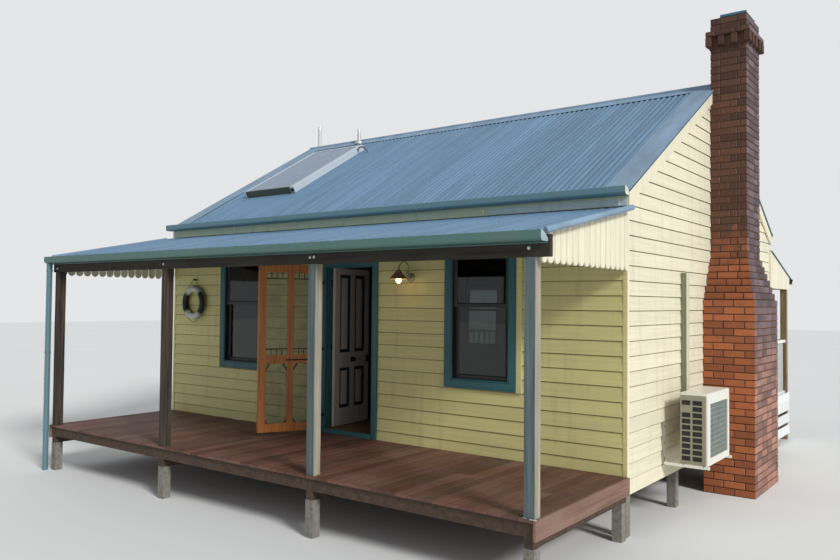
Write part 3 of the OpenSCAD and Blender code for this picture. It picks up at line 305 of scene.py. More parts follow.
def mottled(name, noise, a, b, **sockets):
    """A finish between two colours; gives the material under construction and its noise."""
    f = Finish(name, **sockets)
    cloud = f.noise(*noise)
    f.done(f.mix(cloud, rgb(*a), rgb(*b)))
    return f, cloud


def pane_finish():
    # The pane's tint is far darker than clear glass: painted shade for the dim room behind
    f, film = mottled("window_pane", (3,), (104, 116, 112), (138, 150, 146), IOR=1.5, Transmission_Weight=1.0)
    f.feed(f.shader.inputs["Roughness"], f.span(film, 0.3, 0.8, 0.0, 0.06))
    return f.material


def gauze_finish():
    f, dust = mottled("fly_gauze", (6,), (38, 42, 38), (84, 88, 80), Roughness=0.6)
    f.feed(f.shader.inputs["Alpha"], f.span(dust, 0.3, 0.7, 0.24, 0.34))
    return f.material


ACROSS, UP, POST_GRAIN, BROWN_GRAIN = (1.2, 40, 40), (40, 40, 1.5), (26, 26, 0.7), (42, 42, 1.1)
GRIME = (140, 132, 108)
# The front boards' paint is the gable's cream made darker and yellower: painted shade and warm lamplight from
# under the verandah
FRONT = painted("front_boards_shaded_paint", (216, 206, 140), (1.2, 50, 50), 0.3)
# Paint for the laps' rebates and undersides: painted shade
LAP_SHADE = painted("lap_painted_shade", (136, 126, 90), (2, 40, 40), 0.5, (90, 82, 58), 0.7, 0.1)
GABLE = painted("gable_boards_paint", (232, 225, 198), (50, 1.2, 50), 0.28, GRIME)
TRIM = painted("trim_paint", (236, 228, 202), UP, 0.3, GRIME)
TEAL = painted("teal_paint", (46, 98, 102), UP, 0.5, (18, 44, 48), 0.42, 0.05, 0.2, 0.8)
NAVY = painted("navy_paint", (26, 48, 62), (40, 40, 2), 0.4, (20, 22, 34), 0.42, 0.04, 0.15, 0.8)
DOOR = painted("door_paint", (204, 194, 184), UP, 0.35, (120, 108, 100), 0.48)
SASH = painted("sash_paint", (30, 34, 34), UP, 0.3, (60, 58, 50), 0.4)
WHITE = painted("white_paint", (232, 234, 232), UP, 0.5, (130, 124, 108), 0.55, 0.05)
LINING = painted("lining_paint", (172, 162, 134), UP, 0.25)
# The fascias' and the eave strip's paints are paler than their own colour to light them under the gutter:
# painted light
EAVE = painted("eave_paint_lightened", (190, 204, 174), ACROSS, 0.5, (90, 104, 92))
EAVE_STRIP = painted("eave_strip_paint_lightened", (184, 204, 204), ACROSS, 0.4, (100, 112, 112))
DOWNPIPE = sheet_paint("downpipe_paint", (96, 130, 140), 0.4, 0.1)
GUTTER = sheet_paint("gutter_paint", (84, 120, 114), 0.38, 0.1)
MAIN_GUTTER = sheet_paint("main_gutter_paint", (100, 138, 148), 0.4, 0.1)
GUTTER_END = sheet_paint("gutter_end_paint", (228, 222, 200), 0.45, 0.0)
CAP_END = sheet_paint("gutter_cap_metal", (170, 190, 198), 0.4, 0.2)
IRON = iron("roof_iron", (112, 144, 172), (16, 0.5, 0.9))
FLASHING = iron("flashing_iron", (136, 160, 182), (5, 1.5, 1.5), 0.15, 0.58, 0.15, 0)
SCREW = smooth("roof_screw", (116, 142, 166), 0.5, 0.2)
BRICK = brick_finish("brick", (146, 82, 48), (184, 106, 62), (72, 46, 34), (102, 66, 48), 2.7, 3.3, 0.7)
# A greyer, purple copy of the brick for the faces along +X: painted shade and sky light, with paler sunlit
# patches low down
BRICK_SIDE_PAINTED_LIGHT = brick_finish("brick_side_painted_light", (126, 96, 88), (184, 134, 114), (82, 70, 74), (120, 104, 108),
                          1.0, 2.2, 2.4)
MORTAR = mortar_finish()
GLASS, GAUZE = pane_finish(), gauze_finish()
GLOW = mottled("lamp_glow", (80, 2, 0.5), (255, 226, 170), (255, 240, 208), Roughness=0.3,
               Emission_Color=rgb(255, 204, 120), Emission_Strength=10.0)[0].material
# The framing's dark brown is partly its own weathered colour and partly painted shade, as it lies under the
# deck and the roofs
FRAMING, FRAMING_Y = (
    timber("framing_along_" + axis, (58, 44, 35), (92, 72, 56), grain, 0.8, 0.1, 0.3, 0.3, None, 0.2)
    for axis, grain in (("x", (0.7, 22, 22)), ("y", (22, 0.7, 22))))
STUMP = timber("stump_concrete", (116, 112, 102), (142, 138, 128), (22, 22, 22), 0.9, 0.08, 0.2, 0.1)
BOARDS_IN = timber("floor_boards", (96, 58, 34), (140, 92, 56), (60, 2, 60), 0.45, 0.15, 0.15)
DECKING = timber("decking_timber", (72, 44, 34), (116, 74, 58), (40, 0.9, 40), 0.62, 0.34, 0.3, 0.3,
                 (112, 84, 72), 0.22)
RIM = timber("deck_rim_timber", (98, 66, 54), (150, 112, 94), (30, 0.8, 30), 0.6, 0.1, 0.3, 0.3,
             (138, 110, 96), 0.2)
# The pale post timber and the dark copy for the posts' fronts are lit and shaded copies of one timber:
# painted light and shade
POST = timber("post_timber", (120, 114, 98), (184, 176, 154), POST_GRAIN, 0.8, 0.08, 0.5, 0.4,
              (150, 146, 132), 0.2)
POST_FRONT_SHADE = timber("post_front_painted_shade", (58, 70, 74), (108, 122, 122), POST_GRAIN, 0.8, 0.08, 0.5, 0.5,
                   (84, 98, 98), 0.2)
BROWN_POST = timber("brown_post_timber", (34, 28, 24), (82, 68, 56), BROWN_GRAIN, 0.8, 0.1, 0.7)
REAR_POST = timber("rear_post_timber", (98, 84, 62), (164, 142, 106), BROWN_GRAIN, 0.8, 0.08, 0.5)
BEAM = timber("beam_timber", (24, 18, 12), (52, 42, 28), (1.0, 46, 46), 0.8, 0.08, 0.6, 0.5, (46, 46, 36))
CEDAR = timber("cedar", (142, 80, 28), (198, 124, 48), (40, 40, 1.2), 0.42, 0.06, 0.15, 0.3, None, 0.22)
CEDAR_DARK = timber("dark_cedar", (58, 36, 20), (96, 62, 34), (50, 50, 1.6), 0.5, 0.06, 0.15)
ROPE = timber("rope_fibre", (120, 120, 84), (172, 168, 128), (160, 160, 160), 0.9, 0.05, 0.6)
CASING = smooth("casing_enamel", (232, 229, 216), 0.35, 0.0, 0.03, 0.02, 200, 0.15, 0.2)
# The casing in painted shade, for the side towards the front, the valve cover and the bracket's legs
CASING_DARK = smooth("casing_shade", (150, 146, 126), 0.45, 0.0, 0.05)
GUARD = smooth("guard_metal", (176, 186, 178), 0.45, 0.2)
GUARD_BACK = smooth("guard_shade", (104, 116, 110), 0.6, 0.1)
OPENING_SHADE = smooth("opening_painted_shade", (40, 42, 38), 0.6, 0.2, 0.1)
DUCT = smooth("duct_plastic", (206, 202, 178), 0.5, 0.0, 0.04)
DUCT_SHADE = smooth("duct_side_painted_shade", (128, 126, 102), 0.6, 0.0, 0.04)
PIPE = smooth("pipe_metal", (214, 218, 218), 0.35, 0.5)
DARK = smooth("dark_metal", (44, 42, 40), 0.45, 0.6, 0.1)
LAMP_METAL = smooth("lamp_metal", (156, 150, 128), 0.4, 0.4, 0.08)
ENAMEL = smooth("lamp_enamel", (146, 104, 76), 0.35, 0.2, 0.08, 0.05, 90, 0.3, 0.3)
ENAMEL_IN = smooth("lamp_inside", (240, 226, 190), 0.3, 0.0, 0.03)
RING = smooth("ring_plastic", (206, 214, 200), 0.5, 0.0, 0.05, 0.05, 60, 0.3)
RING_DARK = smooth("ring_quarter", (22, 26, 28), 0.5, 0.0, 0.08)
RING_BAND = smooth("ring_strap", (150, 156, 144), 0.6, 0.0, 0.08)
PANEL = smooth("panel_glass", (132, 150, 172), 0.3, 0.0, 0.04, 0.01, 40, 0.15, 0.2)
PANEL_EDGE = smooth("panel_edge", (78, 84, 74), 0.45, 0.2)
PANEL_FRAME = smooth("panel_frame", (206, 216, 222), 0.4, 0.2, 0.05)
DULL_PIPE = smooth("dull_pipe", (116, 106, 94), 0.45, 0.4, 0.12)
CAP = smooth("cap_sheet", (76, 122, 142), 0.4, 0.3, 0.08)
BRONZE = smooth("door_furniture", (34, 30, 30), 0.35, 0.7, 0.1)
rope.data.materials.append(ROPE)


# Mesh building
class Shape:
    """Faces in millimetres. Each has a tone, for its shade, and the number of its material."""

    def __init__(self):
        self.points, self.faces, self.tones, self.kinds = [], [], [], []

    def add(self, points, faces, tone, kind):
        start = len(self.points)
        self.points += points
        self.faces += [[start + i for i in face] for face in faces]
        self.tones += [tone] * len(faces)
        self.kinds += [kind] * len(faces)

    def box(self, x0, x1, y0, y1, z0, z1, tone=0.5, kind=0):
        """Its faces come in the order low x, high x, low y, high y, low z, high z."""
        points = [(x, y, z) for x in sorted((x0, x1)) for y in sorted((y0, y1)) for z in (z0, z1)]
        self.add(points, [(0, 1, 3, 2), (4, 6, 7, 5), (0, 4, 5, 1), (2, 3, 7, 6), (0, 2, 6, 4), (1, 5, 7, 3)],
                 tone, kind)

    def loft(self, loops, capped=True, tone=0.5, kind=0):
        """Skins a row of closed loops with the same number of points."""
        n, rows = len(loops[0]), len(loops)
        faces = [(r * n + i, r * n + (i + 1) % n, (r + 1) * n + (i + 1) % n, (r + 1) * n + i)
                 for r in range(rows - 1) for i in range(n)]
        if capped:
            faces += [tuple(reversed(range(n))), tuple((rows - 1) * n + i for i in range(n))]
        self.add([p for loop in loops for p in loop], faces, tone, kind)

    def bar(self, outline, place, a, b, tone=0.5, kind=0):
        """An outline of (u, v) points carried from a to b; place(s, u, v) gives the point."""
        self.loft([[place(s, u, v) for u, v in outline] for s in (a, b)], tone=tone, kind=kind)

    def turned(self, profile, place, steps=24, tone=0.5, kind=0):
        """A profile of (radius, height) points spun round; place(x, y, h) gives the point."""
        loops = [[place(r * c, r * s, h) for c, s in spokes(steps)] for r, h in profile]
        self.loft(loops, True, tone, kind)

    def tube(self, path, radius, steps, tone=0.5, kind=0):
        """A round bar along a path of points."""
        path = [Vector(p) for p in path]
        loops, normal = [], None
        for before, p, after in zip(path[:1] + path, path, path[1:] + path[-1:]):
            ahead = (after - before).normalized()
            normal = normal or ahead.orthogonal().normalized()
            normal = (normal - ahead * normal.dot(ahead)).normalized()
            other = ahead.cross(normal)
            loops.append([tuple(p + radius * (c * normal + s * other)) for c, s in spokes(steps)])
        self.loft(loops, tone=tone, kind=kind)

    def turn(self, px, py, angle):
        """Turns everything so far about an upright axis."""
        c, s = math.cos(math.radians(angle)), math.sin(math.radians(angle))
        self.points = [(px + (x - px) * c - (y - py) * s, py + (x - px) * s + (y - py) * c, z)
                       for x, y, z in self.points]

    def make(self, name, materials, slot, node=None, bevel=0, segments=None, smooth=None, body="house"):
        """The object, riding on its body; bevel is the edges' width and smooth the angle of soft shading."""
        mesh = bpy.data.meshes.new(name)
        mesh.from_pydata([(x / 1000, y / 1000, z / 1000) for x, y, z in self.points], [], self.faces)
        mesh.validate()
        mesh.update()
        for m in materials:
            mesh.materials.append(m)
        mesh.polygons.foreach_set("material_index", self.kinds)
        tone = mesh.color_attributes.new("tone", "FLOAT_COLOR", "CORNER")
        tone.data.foreach_set("color", [c for polygon, t in zip(mesh.polygons, self.tones)
                                        for c in [t, t, t, 1.0] * polygon.loop_total])
        obj = link(bpy.data.objects.new(name, mesh))
        bm = bmesh.new()
        bm.from_mesh(mesh)
        bmesh.ops.recalc_face_normals(bm, faces=bm.faces)
        bm.to_mesh(mesh)
        bm.free()
        if smooth:
            mesh.shade_smooth()
            mesh.set_sharp_from_angle(angle=math.radians(smooth))
        if bevel:
            rounding = obj.modifiers.new("edges", "BEVEL")
            rounding.width = bevel / 1000
            rounding.segments = segments or (2 if bevel >= 2 else 1)
            rounding.limit_method = "ANGLE"
            rounding.angle_limit = math.radians(40)
        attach(obj, body)
        if node:
            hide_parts(node)


def spokes(n):
    return [(math.cos(t * math.tau / n), math.sin(t * math.tau / n)) for t in range(n)]


def arc(cx, cy, r, a, b, n):
    turns = [math.radians(a + (b - a) * i / n) for i in range(n + 1)]
    return [(cx + r * math.cos(t), cy + r * math.sin(t)) for t in turns]


def spread(n, a, b):
    return [a + i * (b - a) / (n - 1) for i in range(n)]


def plate(a, b, c, d):
    return [(a, c), (b, c), (b, d), (a, d)]


def tone():
    return rng.random()


# Places for bar: an outline carried along x, mirrored by two signs, or along y or z
def along_x(end=1, sign=1):
    return lambda s, u, v: (end * s, sign * u, v)


def along_y(s, u, v):
    return (u, s, v)


def along_z(s, u, v):
    return (u, v, s)


# Places for turned: from a point upwards, towards the front or towards +X
def up_from(x, y, z=0):
    return lambda u, v, h: (x + u, y + v, z + h)


def front_from(x, y, z):
    return lambda u, v, h: (x + u, y - h, z + v)


def right_from(x, y, z):
    return lambda u, v, h: (x + h, y + u, z + v)


def on_wall(sign):
    """Places (across, out, up) on the front wall, -1, or the rear wall, 1."""
    return lambda u, f, h: (u, sign * (HY + f), h)


# Weatherboards: each course is one lapped board or more, thick at its lower edge, with a rebate at
# its head that shows as a dark line; the rebate and the underside are painted darker as the lap's shade
def crop(points, limit, way):
    """The part of an outline above a height, way 1, or below it, way -1."""
    kept = []
    for (d0, h0), (d1, h1) in pairwise(points + points[:1]):
        inside0, inside1 = (h0 - limit) * way >= 0, (h1 - limit) * way >= 0
        if inside0:
            kept.append((d0, h0))
        if inside0 != inside1:
            kept.append((d0 + (d1 - d0) * ((limit - h0) / (h1 - h0)), limit))
    return kept


def board_run(shape, z0, low, high, start, end, place, level):
    """One board between two ends, which may lean: start and end give u at a height."""
    full = [(0, z0), (20, z0), (22, z0 + 3), (12, z0 + 142), (REBATE, z0 + 143), (REBATE, z0 + COURSE),
            (0, z0 + COURSE)]
    outline = crop(crop(full, low, 1), high, -1)
    if len(outline) < 3 or end((low + high) / 2) - start((low + high) / 2) < 6:
        return
    first = len(shape.kinds)
    shape.loft([[place(reach(h), d, h) for d, h in outline] for reach in (start, end)], tone=level)
    for i, ((d0, h0), (d1, h1)) in enumerate(pairwise(outline + outline[:1])):
        # The underside and the rebate take the second material, painted shade
        if h0 == h1 == z0 or d0 == d1 == REBATE:
            shape.kinds[first + i] = 1


def constant(value):
    return lambda h: value


def around(p, q, c, d, mid):
    """What is left of a run from p to q outside c to d."""
    if q(mid) <= c or p(mid) >= d:
        return [(p, q)]
    return [(p, constant(c))] * (p(mid) < c) + [(constant(d), q)] * (q(mid) > d)


def clad(shape, bottom, top, start, end, holes, place, lengths):
    """Courses of boards from bottom to top, cut round the holes, with butt joints here and there."""
    for z0 in range(CLAD_BOTTOM, math.ceil(top), COURSE):
        base, crown = max(z0, bottom), min(z0 + COURSE, top)
        if base >= crown:
            continue
        at = start(z0) + rng.uniform(*lengths)
        starts, ends, levels = [start], [], [tone()]
        while at < end(z0) - 500:
            ends.append(constant(at - BUTT))
            starts.append(constant(at + BUTT))
            levels.append(tone())
            at += rng.uniform(*lengths)
        ends.append(end)
        cuts = sorted({base, crown} | {h for hole in holes for h in hole[2:] if base < h < crown})
        for low, high in pairwise(cuts):
            mid = (low + high) / 2
            for level, *whole in zip(levels, starts, ends):
                runs = [whole]
                for c, d in sorted(hole[:2] for hole in holes if hole[2] < mid < hole[3]):
                    runs = [run for p, q in runs for run in around(p, q, c, d, mid)]
                for p, q in runs:
                    board_run(shape, z0, low, high, p, q, place, level)


def long_walls():
    reach, half = HX - CORNER - 1, DOOR_W / 2 + DOOR_JAMB
    top = roof_z(HY) - (RAFTER_FOOT + 10) / COS_MAIN - 2
    for name, facing, door in (("front", -1, DOOR_X), ("rear", 1, REAR_DOOR_X)):
        holes = [(x - WIN_W / 2 - JAMB, x + WIN_W / 2 + JAMB, SILL - JAMB, head + JAMB)
                 for x, where, head, _ in WINDOWS if where == facing]
        holes.append((door - half, door + half, 0, DOOR_HEAD + DOOR_JAMB))
        shape = Shape()
        clad(shape, DECK, top, constant(-reach), constant(reach), holes,
             lambda u, d, h: (u, facing * (FY + d), h), (2600, 4600))
        shape.make(name + "_lapped_boards", [FRONT, LAP_SHADE], "front_paint", name + "_weatherboards")


def gable_walls():
    half = HY - CORNER - 1
    peak = roof_z(0) - BATTEN_FOOT / COS_MAIN
    shoulder = peak - half * TAN_MAIN

    def reach(h):
        return half if h < shoulder else max(0, (peak - h) / TAN_MAIN)
    # A hole without height cuts the course where its ends begin to lean
    shoulder_cut = [(-HY, HY, shoulder, shoulder)]
    for name, end in (("right", 1), ("left", -1)):
        shape = Shape()
        clad(shape, CLAD_BOTTOM, peak - 4, lambda h: -reach(h), reach, shoulder_cut,
             lambda u, d, h: (end * (FX + d), u, h), (2300, 4300))
        shape.make(name + "_lapped_boards", [GABLE, LAP_SHADE], "gable_paint", name + "_weatherboards")


def corners():
    """The faces that look to the front, and the whole stop at the front's left, have the front boards'
    colour, which is painted shade.
    """
    shape = Shape()
    top = roof_z(HY) - RAFTER_FOOT / COS_MAIN
    outline = [(HX, HY), (HX - CORNER, HY), (HX - CORNER, FY), (FX, FY), (FX, HY - CORNER), (HX, HY - CORNER)]
    for sx in (-1, 1):
        for sy in (-1, 1):
            shape.bar(outline, lambda s, u, v: (sx * u, sy * v, s), CLAD_BOTTOM, top, tone(),
                      1 if sx + sy < 0 else 0)
            # The face that looks to the front takes the front boards' painted shade
            if sy < 0:
                shape.kinds[-len(outline) - 2] = 1
    shape.make("corner_stops", [TRIM, FRONT], "trim_paint", "corner_boards", 3)


# Corrugated iron
def corrugated(shape, x0, x1, y0, y1, height, drop):
    """Sheets of iron whose waves run down the slope; height(y) is the top, drop the slope's cosine."""
    for number, first in enumerate(range(math.floor(x0 / SHEET) * SHEET, math.ceil(x1), SHEET)):
        a, b = max(x0, first), min(x1, first + SHEET + WAVE / 2)
        if b - a <= 8:
            continue
        n = max(2, round((b - a) / WAVE * WAVE_STEPS))
        waves = [(x, 0.6 + 0.8 * (number % 2) + 8.2 * (1 - math.cos(math.tau * x / WAVE)))
                 for x in spread(n + 1, a, b)]
        level = tone()
        shape.loft([[(x, y, height(y) - d / drop) for x, d in waves]
                    + [(x, y, height(y) - (d + 1.2) / drop) for x, d in reversed(waves)]
                    for y in (y0, y0 + (y1 - y0) * 0.33, y0 + (y1 - y0) * 0.67, y1)], tone=level)


def screws(shape, reach, rows, height):
    """A screw on every third wave's crest, upright to the slope."""
    for crest in range(math.ceil(-reach / WAVE), math.ceil(reach / WAVE)):
        if crest % 3 == 0:
            for y in rows:
                x, z, tilt = crest * WAVE, height(y), height(y + 1) - height(y)
                shape.turned([(9, -0.4), (9, 0.8), (5.5, 1.2), (5.5, 4.2), (4, 5.4), (0.3, 5.6)],
                             lambda u, v, h: (x + u, y + v - h * tilt, z + v * tilt + h), 8)


def roofs():
    for name, sign, near in (("front", -1, -SHAFT_Y0), ("rear", 1, SHAFT_Y1)):
        shape = Shape()
        corrugated(shape, -VERGE_X, HX - 1, 0, sign * EAVE_Y, roof_z, COS_MAIN)
        corrugated(shape, HX - 1, VERGE_X, sign * (near + 2), sign * EAVE_Y, roof_z, COS_MAIN)
        shape.make(name + "_corrugated_iron", [IRON], "galvanised_iron", name + "_roof_sheets", smooth=50)
        pins = Shape()
        screws(pins, 3300, [sign * y for y in (330, 930, 1560, 2190, 2820)], roof_z)
        pins.make(name + "_roof_screws", [SCREW], "pipe_metal", smooth=40)
    pins = Shape()
    for name, node, reach, y0, y1, height, drop, pin_reach, rows in (
            ("verandah_corrugated_iron", "verandah_roof_sheets", HX + 74, -HY - 1, FRONT_EAVE, front_z,
             COS_FRONT, 3700, (-3080, -3880, -4790)),
            ("rear_verandah_iron", "rear_verandah_sheets", HX + 44, HY + 1, REAR_EAVE, rear_z,
             COS_REAR, 3600, (3060, 3620, 4240))):
        shape = Shape()
        corrugated(shape, -reach, reach, y0, y1, height, drop)
        shape.make(name, [IRON], "galvanised_iron", node, smooth=50)
        screws(pins, pin_reach, rows, height)
    pins.make("verandah_roof_screws", [SCREW], "pipe_metal", smooth=40)


def barges_and_fascias():
    shape = Shape()
    for end in (-1, 1):
        for sign, shaft in ((-1, -SHAFT_Y0), (1, SHAFT_Y1)):
            near = 1 if end < 0 else shaft + 1
            for far, top, foot, x0, x1, level in ((HY + 20, 20.3, RAFTER_FOOT, HX, HX + 25, tone()),
                                                  (HY + 18, 66, 72, HX + 24, HX + 24.9, 0.2)):
                shape.bar([(u, roof_z(u) - v / COS_MAIN) for u, v in plate(near, far, top, foot)],
                          along_x(end, sign), x0, x1, level)
    shape.make("barges", [TRIM], "trim_paint", "barge_boards", 2.5)
    shape = Shape()
    for sign in (-1, 1):
        for a, b in ((-HX, -1200), (-1198, 1500), (1502, HX)):
            shape.box(a, b, sign * HY, sign * (HY + 20), FASCIA_FOOT, FASCIA_HEAD, tone())
    # The fascias' paint is made paler: painted light under the gutter
    shape.make("fascias", [EAVE], "gutter_paint", "eave_fascias", 2)


# Gutters: a rolled sheet with a bead along its front and a cap at each end
GUTTER_LINE = ([(1, 26), (1, 1), (84, 1)] + arc(84, 33, 32, -90, -8, 6) + [(116, 50), (116, 78)]
               + arc(110, 82, 6, 0, 200, 6))


def thick(line, t):
    """A line of points made into a thin closed strip."""
    other = []
    for a, p, b in zip(line[:1] + line, line, line[1:] + line[-1:]):
        dx, dy = b[0] - a[0], b[1] - a[1]
        size = math.hypot(dx, dy) or 1
        other.append((p[0] - dy / size * t, p[1] + dx / size * t))
    return line + other[::-1]


def gutter(name, node, x0, x1, back, top, sign, paint, end_paint):
    """A run in three lengths, with caps and brackets; end_paint is for the cap at the right end."""
    shape = Shape()

    def place(s, u, v):
        return (s, sign * (back + u), top - GUTTER_DEPTH + v)
    joints = [x0 + 2, x0 + (x1 - x0) / 3, x0 + (x1 - x0) * 2 / 3, x1 - 2]
    for a, b in pairwise(joints):
        shape.bar(thick(GUTTER_LINE, 1.4), place, a, b, tone())
    for x in joints[1:-1]:
        shape.bar(thick(GUTTER_LINE[1:9], 0.8), lambda s, u, v: place(s, u + 0.4, v - 0.8), x - 14, x + 14)
    cap = GUTTER_LINE[:-6] + [(111, 88), (60, 70), (20, 40)]
    shape.bar(cap, place, x0, x0 + 2, 0.5, 1)
    shape.bar(cap, place, x1 - 2, x1, 0.5, 2)
    for x in spread(7, x0 + 260, x1 - 260):
        shape.bar(plate(10, 104, 84, 86), place, x - 9, x + 9, 0.3)
    shape.make(name, [paint, paint, end_paint], "gutter_paint", node, smooth=35)


def gutters():
    for name, node, sign in (("front_main_gutter", "main_gutters", -1), ("rear_main_gutter", None, 1)):
        gutter(name, node, -HX - 50, HX + 30, HY + 20, MAIN_GUTTER_TOP, sign, MAIN_GUTTER, GUTTER_END)
    top = front_z(FRONT_EAVE)
    gutter("verandah_gutter_run", "verandah_gutter", -HX - 90, HX + 110, -POST_Y, top, -1, GUTTER, CAP_END)
    gutter("rear_gutter_run", "rear_gutter", -HX - 45, HX + 45, REAR_EAVE - 45, rear_z(REAR_EAVE), 1,
           GUTTER, GUTTER_END)
    shape, place, r, top = Shape(), up_from(*DOWNPIPE_AT), DOWNPIPE_R, top - GUTTER_DEPTH
    shape.turned([(r, 0), (r, 1200), (r + 1.5, 1202), (r + 1.5, 1240), (r, 1242), (r, top - 60),
                  (r + 2, top - 56), (r + 2, top)], place)
    for z in (520, 1560, top - 110):
        shape.turned([(r + 2.5, z), (r + 4, z + 1), (r + 4, z + 25), (r + 2.5, z + 26)], place, tone=0.3)
    shape.make("downpipe_run", [DOWNPIPE], "gutter_paint", "downpipe", smooth=35)


def rim(shape, left, right, low, high, profile, place, sides=4, level=0.5, kind=0):
    """A frame round an opening: a profile of (outward, forward) points with mitred corners. With three
    sides the foot is open."""
    loops = []
    for u, h, su, sh in ((left, low, -1, -1), (left, high, -1, 1), (right, high, 1, 1), (right, low, 1, -1)):
        rise = 0 if sides == 3 and sh < 0 else sh
        loops.append([place(u + su * o, f, h + rise * o) for o, f in profile])
    shape.loft(loops + loops[:sides - 3], sides == 3, level, kind)


BEAD = [(0, 0), (0, 13), (3, 16)] + arc(9, 13, 6.5, 150, 30, 4) + [(17, 13), (19, 19), (22, 20)]
ARCHITRAVE = BEAD + [(84, 20), (88, 17), (92, 20), (103, 20), (105, 18), (105, 0)]
DOOR_TRIM = BEAD + [(88, 20), (90, 18), (90, 0)]


def windows():
    frames, sashes = Shape(), Shape()
    for x, facing, head, meeting in WINDOWS:
        left, right, place = x - WIN_W / 2, x + WIN_W / 2, on_wall(facing)
        for profile, kind in ((ARCHITRAVE, 0), ([(0, -100), (0, 0), (30, 0), (30, -100)], 1),
                              ([(-9, -82), (-9, -93), (0, -93), (0, -82)], 1)):
            rim(frames, left, right, SILL, head, profile, place, level=tone(), kind=kind)
        for low, high, out in ((meeting - 24, head, -12), (SILL, meeting + 24, -47)):
            section = [(-48, out - 30), (-48, out - 12), (-40, out - 2), (-38, out), (0, out), (0, out - 34),
                       (-44, out - 34)]
            rim(sashes, left, right, low, high, section, place, level=tone())
        sashes.turned([(14, -81), (14, -92), (4, -94), (4, -96)],
                      lambda u, v, h: place(x + u, h, meeting + v), 12)
        for middle in (x - 180, x + 180):
            sashes.box(middle - 25, middle + 25, facing * (HY - 84), facing * (HY - 81),
                       SILL + 14, SILL + 34, 0.7)
    frames.make("window_surrounds", [TEAL, SASH], "teal_paint", "window_frames", 0.8)
    sashes.make("window_sash_rails", [SASH], "sash_paint", "window_sashes", 0.8)
    # The cover strip takes the front boards' colour, with its painted shade
    strip = Shape()
    strip.box(2411, 2478, -HY - 14, -HY, 1318, 3085)
    strip.make("window_cover_strip", [FRONT], "front_paint", None, 2)


# Doors
LEAF_W, LEAF_T, LEAF_Z, LEAF_H = 768, 40, 663, 2061
HINGE, HINGE_HEIGHTS, HINGE_FACES = (-402.5, -2844), (200, 1030.5, 1861), (-2850, -2846)
SCREEN_PIN, SCREEN_HINGES = (-428, -3019), (200, 1047.5, 1895)
AJAR, SCREEN_OPEN = 96, -118  # degrees from shut to the photograph's places


def hinges(shape, pin, heights, lift, reach, faces, kind):
    """Knuckles round a pin with their plates: reach is a plate's ends in x from the pin, faces its y."""
    for h in heights:
        z = h + lift
        shape.turned([(5.2, z), (5.9, z + 1), (5.9, z + 44), (5.2, z + 45)], up_from(*pin), 12, 0.4, kind)
        shape.box(pin[0] + reach[0], pin[0] + reach[1], *faces, z + 2, z + 43, 0.4, kind)


def door_surround(name, node, x, sign, hinged):
    shape, place = Shape(), on_wall(sign)
    left, right = x - DOOR_W / 2, x + DOOR_W / 2
    stop = -55 if hinged else -60
    for foot, profile in ((DECK, DOOR_TRIM), (FLOOR, [(0, -100), (0, 0), (35, 0), (35, -100)]),
                          (FLOOR, [(-12, stop), (-10, stop + 30), (0, stop + 30), (0, stop)])):
        rim(shape, left, right, foot, DOOR_HEAD, profile, place, 3, tone())
    sill = [(-22, DECK + 1), (20, DECK + 1), (20, FLOOR - 8), (14, FLOOR - 1), (-22, FLOOR)]
    shape.bar(sill, place, left - 34, right + 34, 0.4)
    if hinged:
        hinges(shape, HINGE, HINGE_HEIGHTS, LEAF_Z - 45, (-20, 0), HINGE_FACES, 1)
        hinges(shape, SCREEN_PIN, SCREEN_HINGES, FLOOR - 45, (-6, -2), (SCREEN_PIN[1], -HY - 20), 1)
    shape.make(name, [TEAL, BRONZE], "teal_paint", node, 0.8)


def leaf_frame(shape, x0, x1, y0, y1, stile, half, rails):
    """Stiles, rails and the uprights between the bays; yields each bay's edges after its upright."""
    mid = (x0 + x1) / 2
    for a, b in ((x0, x0 + stile), (x1 - stile, x1)):
        shape.box(a, b, y0, y1, rails[0][0], rails[-1][1], tone())
    for rail in rails:
        shape.box(x0 + stile, x1 - stile, y0, y1, *rail, tone())
    for (_, low), (high, _) in pairwise(rails):
        shape.box(mid - half, mid + half, y0, y1, low, high, tone())
        yield x0 + stile, mid - half, low, high
        yield mid + half, x1 - stile, low, high


def panelled_leaf(shape, x0):
    """Raised panels with dark mouldings in a frame, in the shut place. Kinds 0 paint, 1 navy, 2 bronze."""
    y0, y1, z0, z1 = -INNER_Y - LEAF_T, -INNER_Y, LEAF_Z, LEAF_Z + LEAF_H
    rails = [(z0, z0 + 230), (z0 + 750, z0 + 955), (z1 - 85, z1)]
    moulding = [(1, 0), (0, 2.2), (-8, 2.8), (-15, 1), (-25, -3), (-34, -8), (-40, -10), (-40, -14), (1, -14)]
    for a, b, low, high in leaf_frame(shape, x0, x0 + LEAF_W, y0, y1, 110, 57.5, rails):
        level = tone()
        panel = []
        for sign, face in ((-1, y0), (1, y1)):
            def place(u, f, h):
                return (u, face + sign * f, h)
            rim(shape, a, b, low, high, moulding, place, level=tone(), kind=1)
            field = [[place(u, f, h) for u, h in plate(a + e, b - e, low + e, high - e)]
                     for e, f in ((30, -10), (43, -10), (64, -4.5))]
            panel += field[::-1] if sign < 0 else field
        shape.loft(panel, tone=level)


def knobs(shape, x, edge):
    z = LEAF_Z + 852.5
    for sign, face in ((-1, -INNER_Y - LEAF_T), (1, -INNER_Y)):
        def place(u, v, h):
            return (x + u, face + sign * h, z + v)
        shape.turned([(33, 0), (33, 3), (27, 5), (12, 7), (9, 24), (11, 28), (22, 33), (28, 41), (27, 49),
                      (20, 54), (0.5, 55)], place, 20, 0.5, 2)
        for c, s in spokes(8):
            shape.turned([(6, 0), (6, 3.5), (3, 5), (0.3, 5.4)],
                         lambda u, v, h: place(u + 33 * c, v + 33 * s, h), 8, 0.5, 2)
        shape.box(edge - 62, edge - 12, face, face + sign * 5, z - 48, z + 44, 0.5, 2)
        shape.turned([(9, 5), (9, 8), (6, 9), (0.3, 9)],
                     lambda u, v, h: place(edge - 37 - x + u, v + 12, h), 10, 0.5, 2)


